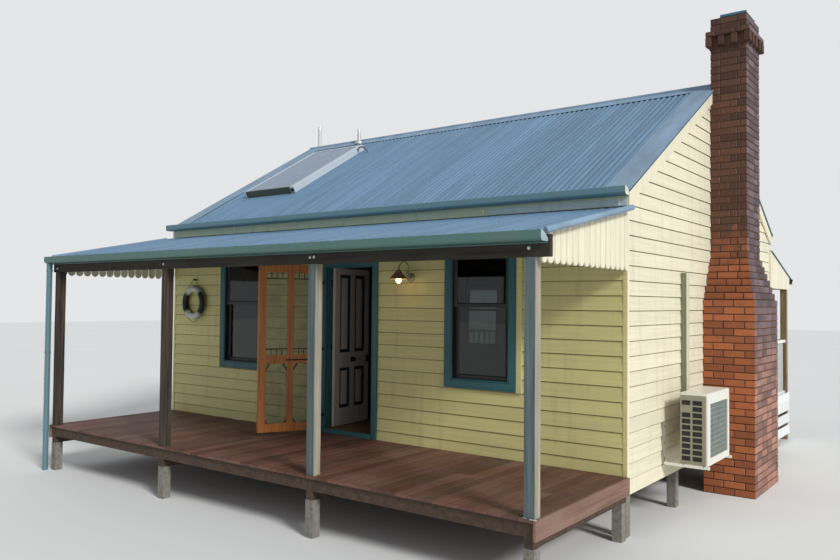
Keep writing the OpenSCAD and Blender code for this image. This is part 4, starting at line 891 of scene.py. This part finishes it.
def doors():
    door_surround("front_door_surround", "front_door_frame", DOOR_X, -1, True)
    door_surround("rear_door_surround", "rear_door_frame", REAR_DOOR_X, 1, False)
    finishes, slot = [DOOR, NAVY, BRONZE], "front_door_paint"
    shape, left = Shape(), DOOR_X - DOOR_W / 2 + 5
    panelled_leaf(shape, left)
    knobs(shape, left + LEAF_W / 2, left + LEAF_W)
    hinges(shape, HINGE, HINGE_HEIGHTS, LEAF_Z + 0.3, (0, 20), HINGE_FACES, 2)
    shape.turn(*HINGE, AJAR)
    shape.make("front_door_leaf", finishes, slot, "front_door", 1.2, body="front_door")
    shape = Shape()
    panelled_leaf(shape, REAR_DOOR_X - LEAF_W / 2)
    knobs(shape, REAR_DOOR_X + LEAF_W / 2 - 55, REAR_DOOR_X + LEAF_W / 2)
    shape.points = [(x, -y, z) for x, y, z in shape.points]
    shape.make("rear_door_leaf", finishes, slot, "rear_door", 1.2)


def screen_door():
    """The leaf is made in its shut place and turned open. Kinds 0 cedar, 1 bronze, 2 dark cedar."""
    shape = Shape()
    x0, x1, y0, y1, z0, z1 = -425, 395, -3013, -2978, FLOOR, FLOOR + 2095
    rails = [(z0, z0 + 105), (z0 + 850, z0 + 953), (z1 - 100, z1)]
    bays = list(leaf_frame(shape, x0, x1, y0, y1, 95, 39, rails))
    shape.box(x0 + 36, x0 + 470, y1, y1 + 3, z0 + 884, z0 + 902, 0.05, 1)
    middle, z_mid, z_top = (y0 + y1) / 2, rails[1][1], rails[2][0]
    spindle = [(6, 0), (6, 12), (3.6, 14), (3.6, 18), (6, 28), (6.5, 40), (6, 52), (3.6, 62), (3.6, 66),
               (6, 68), (6, 80)]
    for a, b, _, _ in bays[:2]:
        for low, z in ((z_mid, z_mid + 80), (z_top - 80, z_top - 80)):
            shape.box(a, b, middle - 8, middle + 8, z - 7, z + 7, tone(), 2)
            for x in spread(5, a, b)[1:-1]:
                shape.turned(spindle, up_from(x, middle, low), 10, 0.1, 2)
        for corner, sign in ((a, 1), (b, -1)):
            for edge, way, reach, wide in ((rails[1][0], -1, 104, 66), (rails[0][1], 1, 60, 48)):
                brace = [(corner, edge + way * (reach - 34)), (corner, edge + way * reach),
                         (corner + sign * wide, edge), (corner + sign * (wide - 26), edge)]
                shape.bar(brace, along_y, y0 + 8, y1 - 8, tone())
    hinges(shape, SCREEN_PIN, SCREEN_HINGES, FLOOR + 0.3, (0, 20), (SCREEN_PIN[1], y0), 1)
    shape.turn(*SCREEN_PIN, SCREEN_OPEN)
    shape.make("screen_door_leaf", [CEDAR, BRONZE, CEDAR_DARK], "cedar", "screen_door", 1.5,
               body="screen_door")


# Decks and the front verandah
def decks():
    for name, node, y0, y1, lengths in (("front_deck_planks", "deck_boards", FRONT_EDGE, -HY, (700, 1300)),
                                        ("rear_deck_planks", None, HY, REAR_POST_Y - 2, None)):
        shape = Shape()
        for a, b in pairwise(spread(round(2 * HX / DECK_PITCH) + 1, -HX, HX)):
            joint = [y0 + rng.uniform(*lengths)] if lengths and rng.random() < 0.35 else []
            for c, d in pairwise([y0, *joint, y1]):
                cup = rng.uniform(0, 1.2)
                shape.box(a, b - 6, c, d - (2 if d != y1 else 0), DECK_UNDER, DECK - cup, tone())
        shape.make(name, [DECKING], "deck_timber", node, 2.5)
    shape = Shape()
    for end in (-1, 1):
        shape.box(end * HX, end * (HX + 25), FRONT_EDGE, -HY, 438, DECK, tone())
        shape.box(end * HX, end * (HX + 20), FRONT_EDGE + 3, -HY, 430, 437, 1.0)
    shape.make("deck_end_boards", [RIM], "deck_timber", "deck_rims", 2.5)
    shape = Shape()
    for a, b in pairwise(spread(round(2 * FY / FLOOR_PITCH) + 1, -FY, FY)):
        cut = rng.uniform(-2000, 2000)
        for x0, x1 in ((-FX, cut - 0.5), (cut + 0.5, FX)):
            shape.box(x0, x1, a, b - 0.8, FLOOR - 25, FLOOR, tone())
    shape.make("floorboards", [BOARDS_IN], "floor_timber", "house_floor", 0.6)


def posts(shape, y, low, high, kinds):
    """Sawn posts with worn corners and faces that are not quite true; kind 0 has a darker front and front
    corners, painted shade.
    """
    w, rows = POST_W, 14
    for number, kind in enumerate(kinds):
        x, loops = -HX + number * POST_STEP, []
        for z in spread(rows + 1, low, high):
            c = 3 + rng.uniform(0, 1.5)
            dents = [rng.uniform(0, 1.5) for _ in range(8)]
            outline = [(c, dents[0]), (w - c, dents[1]), (w - dents[2], c), (w - dents[3], w - c),
                       (w - c, w - dents[4]), (c, w - dents[5]), (dents[6], w - c), (dents[7], c)]
            loops.append([(x + u, y + v, z) for u, v in outline])
        first = len(shape.kinds)
        shape.loft(loops, tone=tone(), kind=kind)
        # The front and its two corners take the dark copy: painted shade
        if kind == 0:
            for i in range(rows * 8):
                if i % 8 in (0, 1, 7):
                    shape.kinds[first + i] = 2


def front_verandah():
    shape = Shape()
    posts(shape, POST_Y, DECK, BEAM_FOOT, (1, 1, 0, 0))
    shape.make("verandah_post_timbers", [POST, BROWN_POST, POST_FRONT_SHADE], "post_timber", "verandah_posts")
    shape = Shape()
    x, y = HX - POST_W, POST_Y
    shape.box(x - 4, x, y + 20, y + 80, DECK, DECK + 26)
    shape.box(x - 4, x + 30, y - 3, y + 60, DECK, DECK + 4)
    shape.box(x + POST_W - 34, x + POST_W + 24, y - 22, y - 3, DECK, DECK + 5)
    for x, z in ((-3600, 2700), (-1218, 2706), (1172, 2716), (1226, 2718), (3590, 2722)):
        shape.turned([(16, 0), (16, 2), (12, 2.5), (12, 8), (9, 10), (0.5, 10.5)],
                     front_from(x, POST_Y + 0.2, z), 8)
    shape.make("verandah_bolts", [PIPE], "pipe_metal", None, 0.8)
    beam = Shape()
    for a, b in ((-HX - 50, -1250), (-1249, 1150), (1151, HX + 127)):
        beam.box(a, b, POST_Y, POST_Y + BEAM_W, BEAM_FOOT, BEAM_HEAD, tone())
    beam.box(HX + 67, HX + 127, POST_Y, POST_Y + BEAM_W, BEAM_HEAD + 0.3, BEAM_HEAD + 46, tone())
    ledger = front_z(-HY - 45) - BATTEN_FOOT / COS_FRONT
    beam.box(-HX + 20, HX - 20, -HY - 45, -HY, ledger - 90, ledger, tone())
    beam.box(-HX, HX, REAR_POST_Y + 10, REAR_POST_Y + 100, REAR_BEAM, REAR_BEAM + 130, tone())
    ledger = rear_z(HY + 45) - BATTEN_FOOT / COS_REAR
    beam.box(-HX + 20, HX - 20, HY, HY + 45, ledger - 90, ledger, tone())
    beam.make("verandah_beam_timbers", [BEAM], "beam_timber", "verandah_beams", 4)


def infill_boards():
    """The round-tipped boards that close the verandah's ends under its roof."""
    shape = Shape()
    wide, back = 114, POST_Y + BEAM_W
    count = math.floor((-HY - back) / wide)
    tip = wide / 2 - 5
    low = DECK + 2008 + tip
    for end in (-1, 1):
        for i in range(count):
            a, b = -HY - (count - i) * wide + 5, -HY - (count - i - 1) * wide - 5
            mid, sink = (a + b) / 2, rng.uniform(0, 2.5)
            face = [(a, front_z(a) - 21 / COS_FRONT), (a, low)]
            face += [(mid + u, low + v) for u, v in arc(0, 0, tip, 180, 360, 12)[1:-1]]
            face += [(b, low), (b, front_z(b) - 21 / COS_FRONT)]
            inner = [(mid + (u - mid) * 0.94, v + (3 if v < low else 0)) for u, v in face]
            shape.loft([[(end * x, u, v) for u, v in points] for x, points in
                        ((HX, face), (HX + 14 - sink, face), (HX + 20 - sink, inner))], tone=tone())
    shape.make("verandah_infill_boards", [TRIM], "trim_paint", "verandah_infill", 1.0)


# Chimney: bricks of 230 x 110 x 74 with 12 mm joints round a core of mortar
BRICK_L, BRICK_T, JOINT = 230, 110, 12


def brick(shape, x0, x1, y0, y1, z0, z1, out):
    """out is the side that shows, as a pair of signs; the brick is set back from it by up to 3 mm.
    The face that looks along +X has a greyer, purple finish, paler low down, that paints shade, sky light and
    sun on it."""
    sink = rng.uniform(0, 3)
    x0, x1 = x0 + sink * (out[0] < 0), x1 - sink * (out[0] > 0)
    y0, y1 = y0 + sink * (out[1] < 0), y1 - sink * (out[1] > 0)
    lean = rng.uniform(-1.2, 1.2)
    shape.box(x0, x1, y0, y1, z0 + lean, z1 + lean * 0.6, tone())
    # The +X face takes the second finish, painted light and shade
    shape.kinds[-5] = 1


def brick_line(a, b, course, lay):
    """A course along one side from a to b: lay(a, b) lays one brick."""
    at = a - (course % 2) * 120
    while at < b - 24:
        low, high = max(a, at), at + BRICK_L
        if b - high < 40:
            high = b
        if high - low > 24:
            lay(low, high)
        at = high + JOINT


def brick_ring(shape, x0, x1, y0, y1, z0, z1, course, behind):
    heights = z0 + JOINT / 2, z1 - JOINT / 2
    odd = course % 2
    inset = BRICK_T + JOINT
    ya, yb = (y0, y1) if odd else (y0 + inset, y1 - inset)
    xa, xb = x0 + (inset if behind and odd else 0), x1 - inset if odd else x1
    brick_line(ya, yb, course, lambda a, b: brick(shape, x1 - BRICK_T, x1, a, b, *heights, (1, 0)))
    if behind:
        brick_line(ya, yb, course + 1, lambda a, b: brick(shape, x0, x0 + BRICK_T, a, b, *heights, (-1, 0)))
    brick_line(xa, xb, course + 1, lambda a, b: brick(shape, a, b, y0, y0 + BRICK_T, *heights, (0, -1)))
    brick_line(xa, xb, course, lambda a, b: brick(shape, a, b, y1 - BRICK_T, y1, *heights, (0, 1)))


def chimney():
    bricks, mortar = Shape(), Shape()
    course = 0

    def wall(x0, x1, y0, y1, z0, z1, count, behind=False):
        nonlocal course
        for low, high in pairwise(spread(count + 1, z0, z1)):
            brick_ring(bricks, x0, x1, y0, y1, low, high, course, behind)
            course += 1
        mortar.box(x0 + (7 if behind else 0), x1 - 7, y0 + 7, y1 - 7, z0, z1)
    x1, y0, y1 = SHAFT_X, SHAFT_Y0, SHAFT_Y1
    foot_x, foot_y0, foot_y1, foot_z, step = HX + 600, -527.5, 649.5, 2350, 86
    wall(HX, foot_x, foot_y0, foot_y1, 0, foot_z, 27)
    for k in range(1, 7):
        t = k / 7
        wall(HX, foot_x + (x1 - foot_x) * t, foot_y0 + (y0 - foot_y0) * t, foot_y1 + (y1 - foot_y1) * t,
             foot_z + step * (k - 1), foot_z + step * k, 1)
    # Above the shoulders: heights, number of courses, how far it stands out, and whether it stands free
    for z0, z1, count, out, behind in (
            (foot_z + 6 * step, 4860, 23, 0, False), (4860, 5570, 8, 0, True), (5570, 5695, 1, 0, True),
            (5695, 5760, 1, 50, True), (5760, SHAFT_TOP, 2, 0, True)):
        wall(HX - out, x1 + out, y0 - out, y1 + out, z0, z1, count, behind)
    # Brick teeth below the course that stands out
    teeth = 5573, 5690
    for x in spread(4, HX - 50, x1 - 20):
        bricks.box(x, x + 70, y0 - 50 + rng.uniform(0, 3), y0 + 60, *teeth, tone())
        bricks.box(x, x + 70, y1 - 60, y1 + 50 - rng.uniform(0, 3), *teeth, tone())
    for y in spread(5, y0 - 50, y1 - 20)[1:-1]:
        bricks.box(x1 - 60, x1 + 50 - rng.uniform(0, 3), y, y + 70, *teeth, tone())
        bricks.box(HX - 50 + rng.uniform(0, 3), HX + 60, y, y + 70, *teeth, tone())
    bricks.make("chimney_bricks", [BRICK, BRICK_SIDE_PAINTED_LIGHT], "brick", "chimney", 3.5, segments=1)
    mortar.make("chimney_mortar", [MORTAR], "brick")
    sheet = Shape()
    x0, x1, a, b, z = HX + 120, x1 + 2, y0 - 2, y0 + 418, SHAFT_TOP
    outline = [(a, z + 6), (a + 6, z + 1), (b - 20, z + 1), (b, z + 8), (b, z + 20), (b - 4, z + 20),
               (b - 6, z + 14), (b - 24, z + 6), (a + 10, z + 7), (a + 4, z + 11), (a, z + 30)]
    sheet.bar(outline, along_x(), x0, x1)
    sheet.box(x0, x1 - 20, a + 4, a + 8, z + 6, z + 34, 0.4)
    for u in (x0 + 60, x1 - 60):
        sheet.box(u - 30, u + 30, a + 140, a + 200, z + 7, z + 38, 0.6)
    sheet.make("chimney_cover_sheet", [CAP], "panel_paint", "chimney_cap", 0.8)


# Rear verandah
REAR_BEAM = rear_z(REAR_POST_Y + 100) - 103 / COS_REAR - 130


def rear_verandah():
    shape = Shape()
    posts(shape, REAR_POST_Y, 0, REAR_BEAM, (1, 1, 1, 1))
    shape.make("rear_post_timbers", [POST, REAR_POST], "post_timber", "rear_posts")
    rails, baluster = Shape(), plate(-12.5, 12.5, -12.5, 12.5)

    def run(place, length):
        """A bay of the balustrade: a hand rail, a foot rail and square balusters."""
        for section in ([(-35, 1655), (35, 1655), (35, 1690), (30, 1700), (-30, 1700), (-35, 1690)],
                        [(-22.5, 785), (22.5, 785), (22.5, 826), (16, 830), (-16, 830), (-22.5, 826)]):
            rails.bar(section, place, 0, length, tone())
        for s in spread(math.floor(length / 130) + 1, 0, length)[1:-1]:
            rails.loft([[place(s + a, u, z) for a, u in baluster] for z in (828, 1656)], tone=tone())
    for i in range(3):
        start = -HX + i * POST_STEP + POST_W
        run(lambda s, u, v: (start + s, REAR_POST_Y + 50 + u, v), POST_STEP - POST_W)
    for x in (-HX + 50, HX - 50):
        run(lambda s, u, v: (x + u, HY + s, v), REAR_POST_Y - HY)
    rails.make("rear_rails", [WHITE], "white_paint", "rear_balustrade", 1.2)
    skirt = Shape()
    y0, y1 = REAR_POST_Y + 100, REAR_POST_Y + 120
    for rows in (((500, 648), (652, 800)), ((300, 450),), ((100, 250),)):
        for a, b in rows:
            for x0, x1 in ((-HX, -1.5), (1.5, HX)):
                skirt.box(x0, x1, y0, y1, a, b, tone())
            for end in (-1, 1):
                skirt.box(end * HX, end * (HX + 20), HY + 2, y0 - 2, a, b, tone())
    skirt.make("rear_skirt_boards", [WHITE], "white_paint", "rear_skirt", 1.5, segments=1)
    infill = Shape()
    front, back, gap = HY + 2, REAR_POST_Y + 145, 20.5 / COS_REAR
    for end in (-1, 1):
        for a, b in pairwise(spread(round((back - front) / 117) + 1, front, back)):
            b -= 2
            outline = [(a, 2560), (b, 2560), (b, rear_z(b) - gap), (a, rear_z(a) - gap)]
            infill.bar(outline, along_x(end), HX + 0.5, HX + 20, tone())
    infill.make("rear_infill_boards", [TRIM], "trim_paint", "rear_infill", 2)


# Heat pump, its bracket and the pipe duct
def rounded(x0, x1, y0, y1, r):
    return (arc(x1 - r, y1 - r, r, 0, 90, 4) + arc(x0 + r, y1 - r, r, 90, 180, 4)
            + arc(x0 + r, y0 + r, r, 180, 270, 4) + arc(x1 - r, y0 + r, r, 270, 360, 4))


def heat_pump():
    """Kinds 0 enamel, 1 its shaded side, 2 dark painted shade behind the openings, 3 fixings, 4 the guard's
    bars, 5 what lies behind them.
    """
    x0, x1, y0, y1, z0, z1 = 3835, 4124, -1968, -1155, 600, 1355
    case = Shape()
    # Front panel with a sunk guard of thin bars over the fan
    g0, g1, g2, g3 = y0 + 95, y1 - 62, z0 + 70, z1 - 110
    case.box(x0 + 4, x1 - 16, y0 + 4, y1 - 3, z0, z1 - 24)
    brow = z1 - 27
    for edges in ((y0 + 4, g0, z0, brow), (g1, y1 - 3, z0, brow), (g0, g1, z0, g2), (g0, g1, g3, brow)):
        case.box(x1 - 15.8, x1 - 1.5, *edges)
    rim(case, g0 + 4, g1 - 4, g2 + 4, g3 - 4, [(0, -14), (0, -2), (3, 0), (7, 0), (9, -2)],
        lambda u, f, h: (x1 + f, u, h))
    case.box(x1 - 15.9, x1 - 14, g0, g1, g2, g3, 0.3, 5)
    fan_y, fan_z = (g0 + g1) / 2, (g2 + g3) / 2
    for k in range(3):
        t0 = k * math.tau / 3
        blade = []
        for r in (60, 110, 160, 210, 245):
            a, b = t0 + r / 420, t0 + 1.25 + r / 900
            blade.append([(x1 + f, fan_y + r * math.cos(t), fan_z + r * math.sin(t))
                          for t, f in ((a, -11), (b, -8), (b, -9.5), (a, -12.5))])
        case.loft(blade, tone=0.1, kind=5)
    case.turned([(62, 0), (62, 4), (50, 6), (0.5, 7)], right_from(x1 - 13, fan_y, fan_z), 24, 0.1, 5)
    for y in spread(28, g0, g1)[1:-1]:
        case.box(x1 - 5.5, x1 - 3.5, y - 1.6, y + 1.6, g2, g3, 0.5, 4)
    for z in spread(12, g2, g3)[1:-1]:
        case.box(x1 - 3.6, x1 - 1.8, g0, g1, z - 2, z + 2, 0.6, 4)
    case.bar(rounded(x0, x1 - 1, y0, y1, 16), along_z, z1 - 26, z1 - 3, 0.6)
    case.bar(rounded(x0 + 10, x1 - 12, y0 + 10, y1 - 10, 14), along_z, z1 - 3, z1, 0.7)
    # The side towards the front, in the shaded casing colour: two columns of ten dark openings between bars,
    # with a dark plate behind them as painted shade
    foot, head, low_bar, step, bar = z0 + 4, z1 - 28, z0 + 40, 65, 15
    for a, b in ((x0 + 6, x0 + 20), (x0 + 110, x0 + 132), (x0 + 232, x1 - 18)):
        case.box(a, b, y0, y0 + 5, foot, head, 0.5, 1)
    for a, b in ((x0 + 20, x0 + 110), (x0 + 132, x0 + 232)):
        case.box(a, b, y0 + 2.6, y0 + 4.4, foot, head, 0.1, 2)
        for row in range(11):
            z = low_bar + row * step
            case.box(a, b, y0, y0 + 4.2, z - bar if row else foot, z if row < 10 else head, 0.5, 1)
        if a == x0 + 20:
            case.box(a, b, y0 + 0.6, y0 + 4.2, low_bar + 8 * step, low_bar + 9 * step, 0.5, 1)
    # The side towards the wall: fins behind thin bars
    for z in range(z0 + 40, z0 + 720, 20):
        case.box(x0, x0 + 4.5, y0 + 50, y1 - 50, z, z + 3, 0.4, 3)
    for y in spread(12, y0 + 50, y1 - 50):
        case.box(x0 + 0.5, x0 + 4, y - 1.5, y + 1.5, z0 + 40, z1 - 60, 0.4, 3)
    # Valve cover on the far side
    case.box(x0 + 60, x0 + 200, y1 - 4, y1, z0 + 60, z0 + 260, 0.6, 1)
    case.make("heat_pump_case", [CASING, CASING_DARK, OPENING_SHADE, DARK, GUARD, GUARD_BACK], "casing_paint",
              "heat_pump", 1.2)
    frame_bars = Shape()
    for y in (y0 - 20, y1 - 20):
        # The legs on the wall take the shaded casing colour: painted shade
        frame_bars.box(HX, HX + 20, y, y + 40, 560, 1020, 0.5, 2)
        frame_bars.box(HX + 20, x1 + 20, y + 5, y + 35, 570, 600)
        frame_bars.box(HX + 5, HX + 25, y + 14, y + 26, 610, 640, 0.4, 1)
        for z in (640, 800, 980):
            frame_bars.turned([(9, 0), (9, 5), (6, 8), (0.5, 8)], right_from(HX + 20, y + 20, z), 6, 0.4, 1)
        for x in (x0 + 40, x1 - 40):
            frame_bars.turned([(16, 0), (16, 9), (12, 10), (0.5, 10)], up_from(x, y + 20, 590.5), 12, 0.3, 1)
    frame_bars.make("heat_pump_brackets", [CASING, DARK, CASING_DARK], "casing_paint", "heat_pump_bracket", 2)
    duct = Shape()
    x, y = HX + 70, -1357
    outline = [(HX, y), (x - 8, y), (x, y + 8), (x, y + 72), (x - 8, y + 80), (HX, y + 80)]
    duct.bar(outline, along_z, 900, 2650)
    # The face towards the front is darker: painted shade
    duct.kinds[0] = 1
    for z in (960, 1500, 2040, 2590):
        duct.turned([(4, 0), (4, 0.8), (2.5, 1.6), (0.4, 1.8)], front_from(HX + 30, y, z), 8, 0.1)
    duct.make("pipe_cover", [DUCT, DUCT_SHADE], "duct_plastic", "pipe_duct", 2.5)


# Lamp, life ring, roof panel, vents
def wall_lamp():
    """Kinds 0 enamel, 1 metal, 2 the shade's inside."""
    x, y, z, low = 972, -HY, 2660, 2575
    metal = Shape()
    metal.turned([(55, 0), (55, 4), (50, 8), (34, 10), (24, 12), (0.5, 12)], front_from(x, y, low), kind=1)
    for k in range(3):
        t = k * math.tau / 3 + 0.5
        metal.turned([(5, 6), (5, 10), (0.5, 11.5)],
                     front_from(x + 42 * math.cos(t), y, low + 42 * math.sin(t)), 8, 0.5, 1)
    rise = y - 39
    path = [(x, y - 8, low), (x, y - 24, low), (x, rise + 8, low + 3), (x, rise, low + 12), (x, rise, z - 20),
            (x, rise, z)] + [(x, v, h) for v, h in arc(rise - 100, z, 100, 0, 180, 12)[1:]]
    metal.tube(path, 8, 10, 0.5, 1)
    scroll = []
    for k in range(26):
        t, r = math.radians(k * 22), 34 * (1 - k / 34)
        scroll.append((x, rise - 34 + r * math.cos(t), z - 34 + r * math.sin(t)))
    metal.tube(scroll, 4, 8, 0.5, 1)
    y = rise - 200
    profile = [(22, 0), (24, -6), (44, -30), (74, -62), (104, -98), (107, -105), (104.5, -105), (101, -98),
               (71, -64), (42, -33), (20, -9), (8, -8)]
    steps = 32
    inside = steps * len(profile) // 2
    loops = [[(x + r * c, y + r * s, z + h) for c, s in spokes(steps)] for r, h in profile]
    metal.loft(loops + loops[:1], False)
    metal.kinds[-inside:] = [2] * inside
    metal.turned([(22, 0), (22, 4), (16, 8), (14, 16), (10, 20), (9, 26), (12, 30), (8, 36), (2, 40)],
                 up_from(x, y, z - 2), 20, 0.5, 1)
    metal.turned([(15, 0), (17, 4), (17, 36), (13, 40)], up_from(x, y, z - 82), 16, 0.5, 1)
    metal.make("lamp_parts", [ENAMEL, LAMP_METAL, ENAMEL_IN], "lamp_enamel", "wall_lamp", smooth=40)
    bulb = Shape()
    bulb.turned([(12, 46), (13, 34), (20, 24), (29, 12), (32, 0), (29, -13), (21, -24), (10, -30.5),
                 (0.5, -32)], up_from(x, y, 2539))
    bulb.make("lamp_bulb", [GLOW], "lamp_enamel", smooth=60)


def life_ring():
    """The ring in four quarters, pale above and below and dark at the sides, with bands between them."""
    x, y, z = RING_AT
    shape = Shape()
    steps, tube_steps = 72, 20

    def loop(angle, tube):
        return [(x + (RING_MAJOR + tube * c) * math.cos(angle), y + tube * s,
                 z + (RING_MAJOR + tube * c) * math.sin(angle)) for c, s in spokes(tube_steps)]
    start = -math.pi / 4
    turns = [start + i * math.tau / steps for i in range(steps + 1)]
    shape.loft([loop(t, RING_TUBE * (1 - 0.008 * math.sin(8 * t) ** 2)) for t in turns], False)
    faces = steps * tube_steps
    shape.kinds = [(i // (faces // 4) + 1) % 2 for i in range(faces)]
    for quarter in range(4):
        middle = start + quarter * math.pi / 2
        edges = ((-5, -1), (-4.5, 0.25), (4.5, 0.25), (5, -1), (-5, -1))
        shape.loft([loop(middle + math.radians(d), RING_TUBE + lift) for d, lift in edges], False, kind=2)
    shape.make("life_ring_body", [RING, RING_DARK, RING_BAND], "ring_plastic", "life_ring", smooth=50)
    peg = Shape()
    peg.turned([(13, 0), (13, 52), (11, 54), (13, 56), (13, 58), (9, 59)], front_from(x, -HY, PEG_Z), 14)
    peg.make("life_ring_peg", [DARK], "pipe_metal", smooth=40)
    legs = Shape()
    top = PEG_Z + 13 + ROPE_R
    for (u, v), lean in ((ROPE_ROUTE[0], 1), (ROPE_ROUTE[-1], -1)):
        legs.tube([(x + u - 0.2 * lean, y, z + v + 0.2), (x + u / 2, y, (z + v + top) / 2),
                   (x + 9 * lean, y, top - 9), (x, y, top)], ROPE_R, 10)
    legs.make("hanging_rope", [ROPE], "rope", smooth=40)


def roof_panel():
    """Kinds 0 glass, 1 frame, 2 dark, 3 the lower edge."""
    c, s = COS_MAIN, math.sin(math.radians(30))

    def slope(up, u, h):
        return (u, -HY + up * c - h * s, MAIN_TOP + up * s + h * c)
    shape = Shape()
    x0, x1, a, b, rail = -3020, -1900, 995, 2795, 34
    left, right = x0 + rail, x1 - 90
    shape.bar(plate(x0 + 14, x1 - 14, 6, 78), slope, a + 12, b - 12, 0.4, 2)
    for u0, u1, t0, t1, kind in ((x0, left, a, b, 1), (right, x1, a, b, 1), (left, right, a, a + rail, 3),
                                 (left, right, b - rail, b, 1)):
        shape.bar(plate(u0, u1, 1, 95), slope, t0, t1, tone(), kind)
    shape.bar(plate(x1 - 70, x1 - 20, 20, 70), slope, a - 12, a + 2, 0.2, 2)
    shape.bar(plate(left, right, 78, 88), slope, a + rail, b - rail)
    for t in (a, b - 38):
        for u in (x0 + 120, x1 - 120):
            shape.bar(plate(u - 25, u + 25, 0.5, 22), slope, t, t + 38, 0.3, 2)
    shape.make("roof_panel_unit", [PANEL, PANEL_FRAME, DARK, PANEL_EDGE], "panel_paint", "roof_panel", 2)
    curl = Shape()
    turns = [math.radians(t) for t in range(3, 178, 12)]
    curl.tube([slope(2640, -1812 + 100 * math.cos(t), 1 + 100 * math.sin(t)) for t in turns], 11.5, 12)
    curl.make("roof_panel_pipe", [DULL_PIPE], "pipe_metal", smooth=40)


def vents():
    shape = Shape()
    for x, y, top, foot in ((-3550, 95, 5545, 1), (-2400, -95, 5318, 0)):
        low = roof_z(y) + 12
        for profile, level, kind in (
                ([(30, low), (30, top - 70), (30, top - 2), (28.5, top), (26, top), (26, top - 60),
                  (0.5, top - 60)], 0.5, 0),
                ([(77, low - 34), (76, low + 2), (60, low + 8), (46, low + 12), (36, low + 20),
                  (32, low + 28), (31, low + 28)], 0.4, foot),
                ([(31, low + 30), (33, low + 31), (33, low + 38), (31, low + 39)], 0.4, foot)):
            shape.turned(profile, up_from(x, y), 24, level, kind)
    shape.make("vent_pipe_runs", [PIPE, RING_DARK], "pipe_metal", "vent_pipes", smooth=40)


def eave_strips():
    """The pale strip under the main gutter with its brackets, and the line under the verandah's gutter."""
    shape = Shape()
    # The strip's paint is made paler: painted light under the gutter
    shape.box(2058, 3643, -HY - 24, -HY - 20, 3254, 3320)
    shape.box(2058, 3643, -HY - 26, -HY - 20, 3322, 3330, 0.5, 1)
    for x in (1984, 3560):
        shape.box(x, x + 18, -HY - 28, -HY - 20, 3262, 3330, 0.4, 1)
    shape.box(-HX - 85, HX + 105, POST_Y - 14, POST_Y - 0.3, 2755, 2766, 0.6, 2)
    shape.make("eave_strips", [EAVE_STRIP, TRIM, GUTTER], "trim_paint", None, 1, segments=2)


# The CAD's own shapes that stay as they are, with better materials
KEPT = {STUMP: "stumps", FRAMING: "bearers roof_battens", FRAMING_Y: "joists rafters",
        LINING: "front_wall_left front_wall_right front_wall_over_door right_wall left_wall rear_wall",
        FLASHING: "ridge_cap verge_flashings", GLASS: "window_glass", GAUZE: "fly_mesh"}


def kept_nodes():
    for material, names in KEPT.items():
        for obj in (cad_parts[name] for name in names.split()):
            if not obj.material_slots:
                obj.data.materials.append(material)
            for s in obj.material_slots:
                s.material = material


def studio():
    """A pale floor, a wide sun, and a soft world that looks the same behind the object and through glass."""
    mesh = bpy.data.meshes.new("studio_floor")
    reach = 70
    mesh.from_pydata([(x, y, 0) for x, y in plate(-reach, reach, -reach, reach)], [], [(0, 1, 2, 3)])
    finish, _ = mottled("studio_floor", (0.4, 2, 0.5), (226, 226, 224), (232, 232, 230), Roughness=0.9)
    mesh.materials.append(finish.material)
    floor = link(bpy.data.objects.new("studio_floor", mesh))
    sun = link(bpy.data.objects.new("key_light", bpy.data.lights.new("key_light", "SUN")))
    sun.data.energy = 2.5
    sun.data.angle = math.radians(14)
    sun.rotation_euler = Vector((0.86, -0.3, 0.55)).to_track_quat("Z", "Y").to_euler()
    world = bpy.data.worlds.new("studio")
    bpy.context.scene.world = world
    world.use_nodes = True
    tree = world.node_tree
    tree.nodes.clear()
    out, seen, light, path, either, mix = (
        tree.nodes.new("ShaderNode" + kind)
        for kind in ("OutputWorld", "Background", "Background", "LightPath", "Math", "MixShader"))
    seen.inputs[0].default_value = (0.78, 0.79, 0.8, 1)
    light.inputs[0].default_value = (0.92, 0.96, 1, 1)
    light.inputs[1].default_value = 0.52
    either.operation = "MAXIMUM"
    for socket, target in ((path.outputs["Is Camera Ray"], either.inputs[0]),
                           (path.outputs["Is Transmission Ray"], either.inputs[1]),
                           (either.outputs[0], mix.inputs[0]), (light.outputs[0], mix.inputs[1]),
                           (seen.outputs[0], mix.inputs[2]), (mix.outputs[0], out.inputs[0])):
        tree.links.new(socket, target)
    bpy.context.scene.view_settings.view_transform = "Standard"


for build in (long_walls, gable_walls, corners, roofs, barges_and_fascias, gutters, windows, doors,
              screen_door, decks, front_verandah, infill_boards, chimney, rear_verandah, heat_pump,
              wall_lamp, life_ring, roof_panel, vents, eave_strips, kept_nodes, studio):
    build()
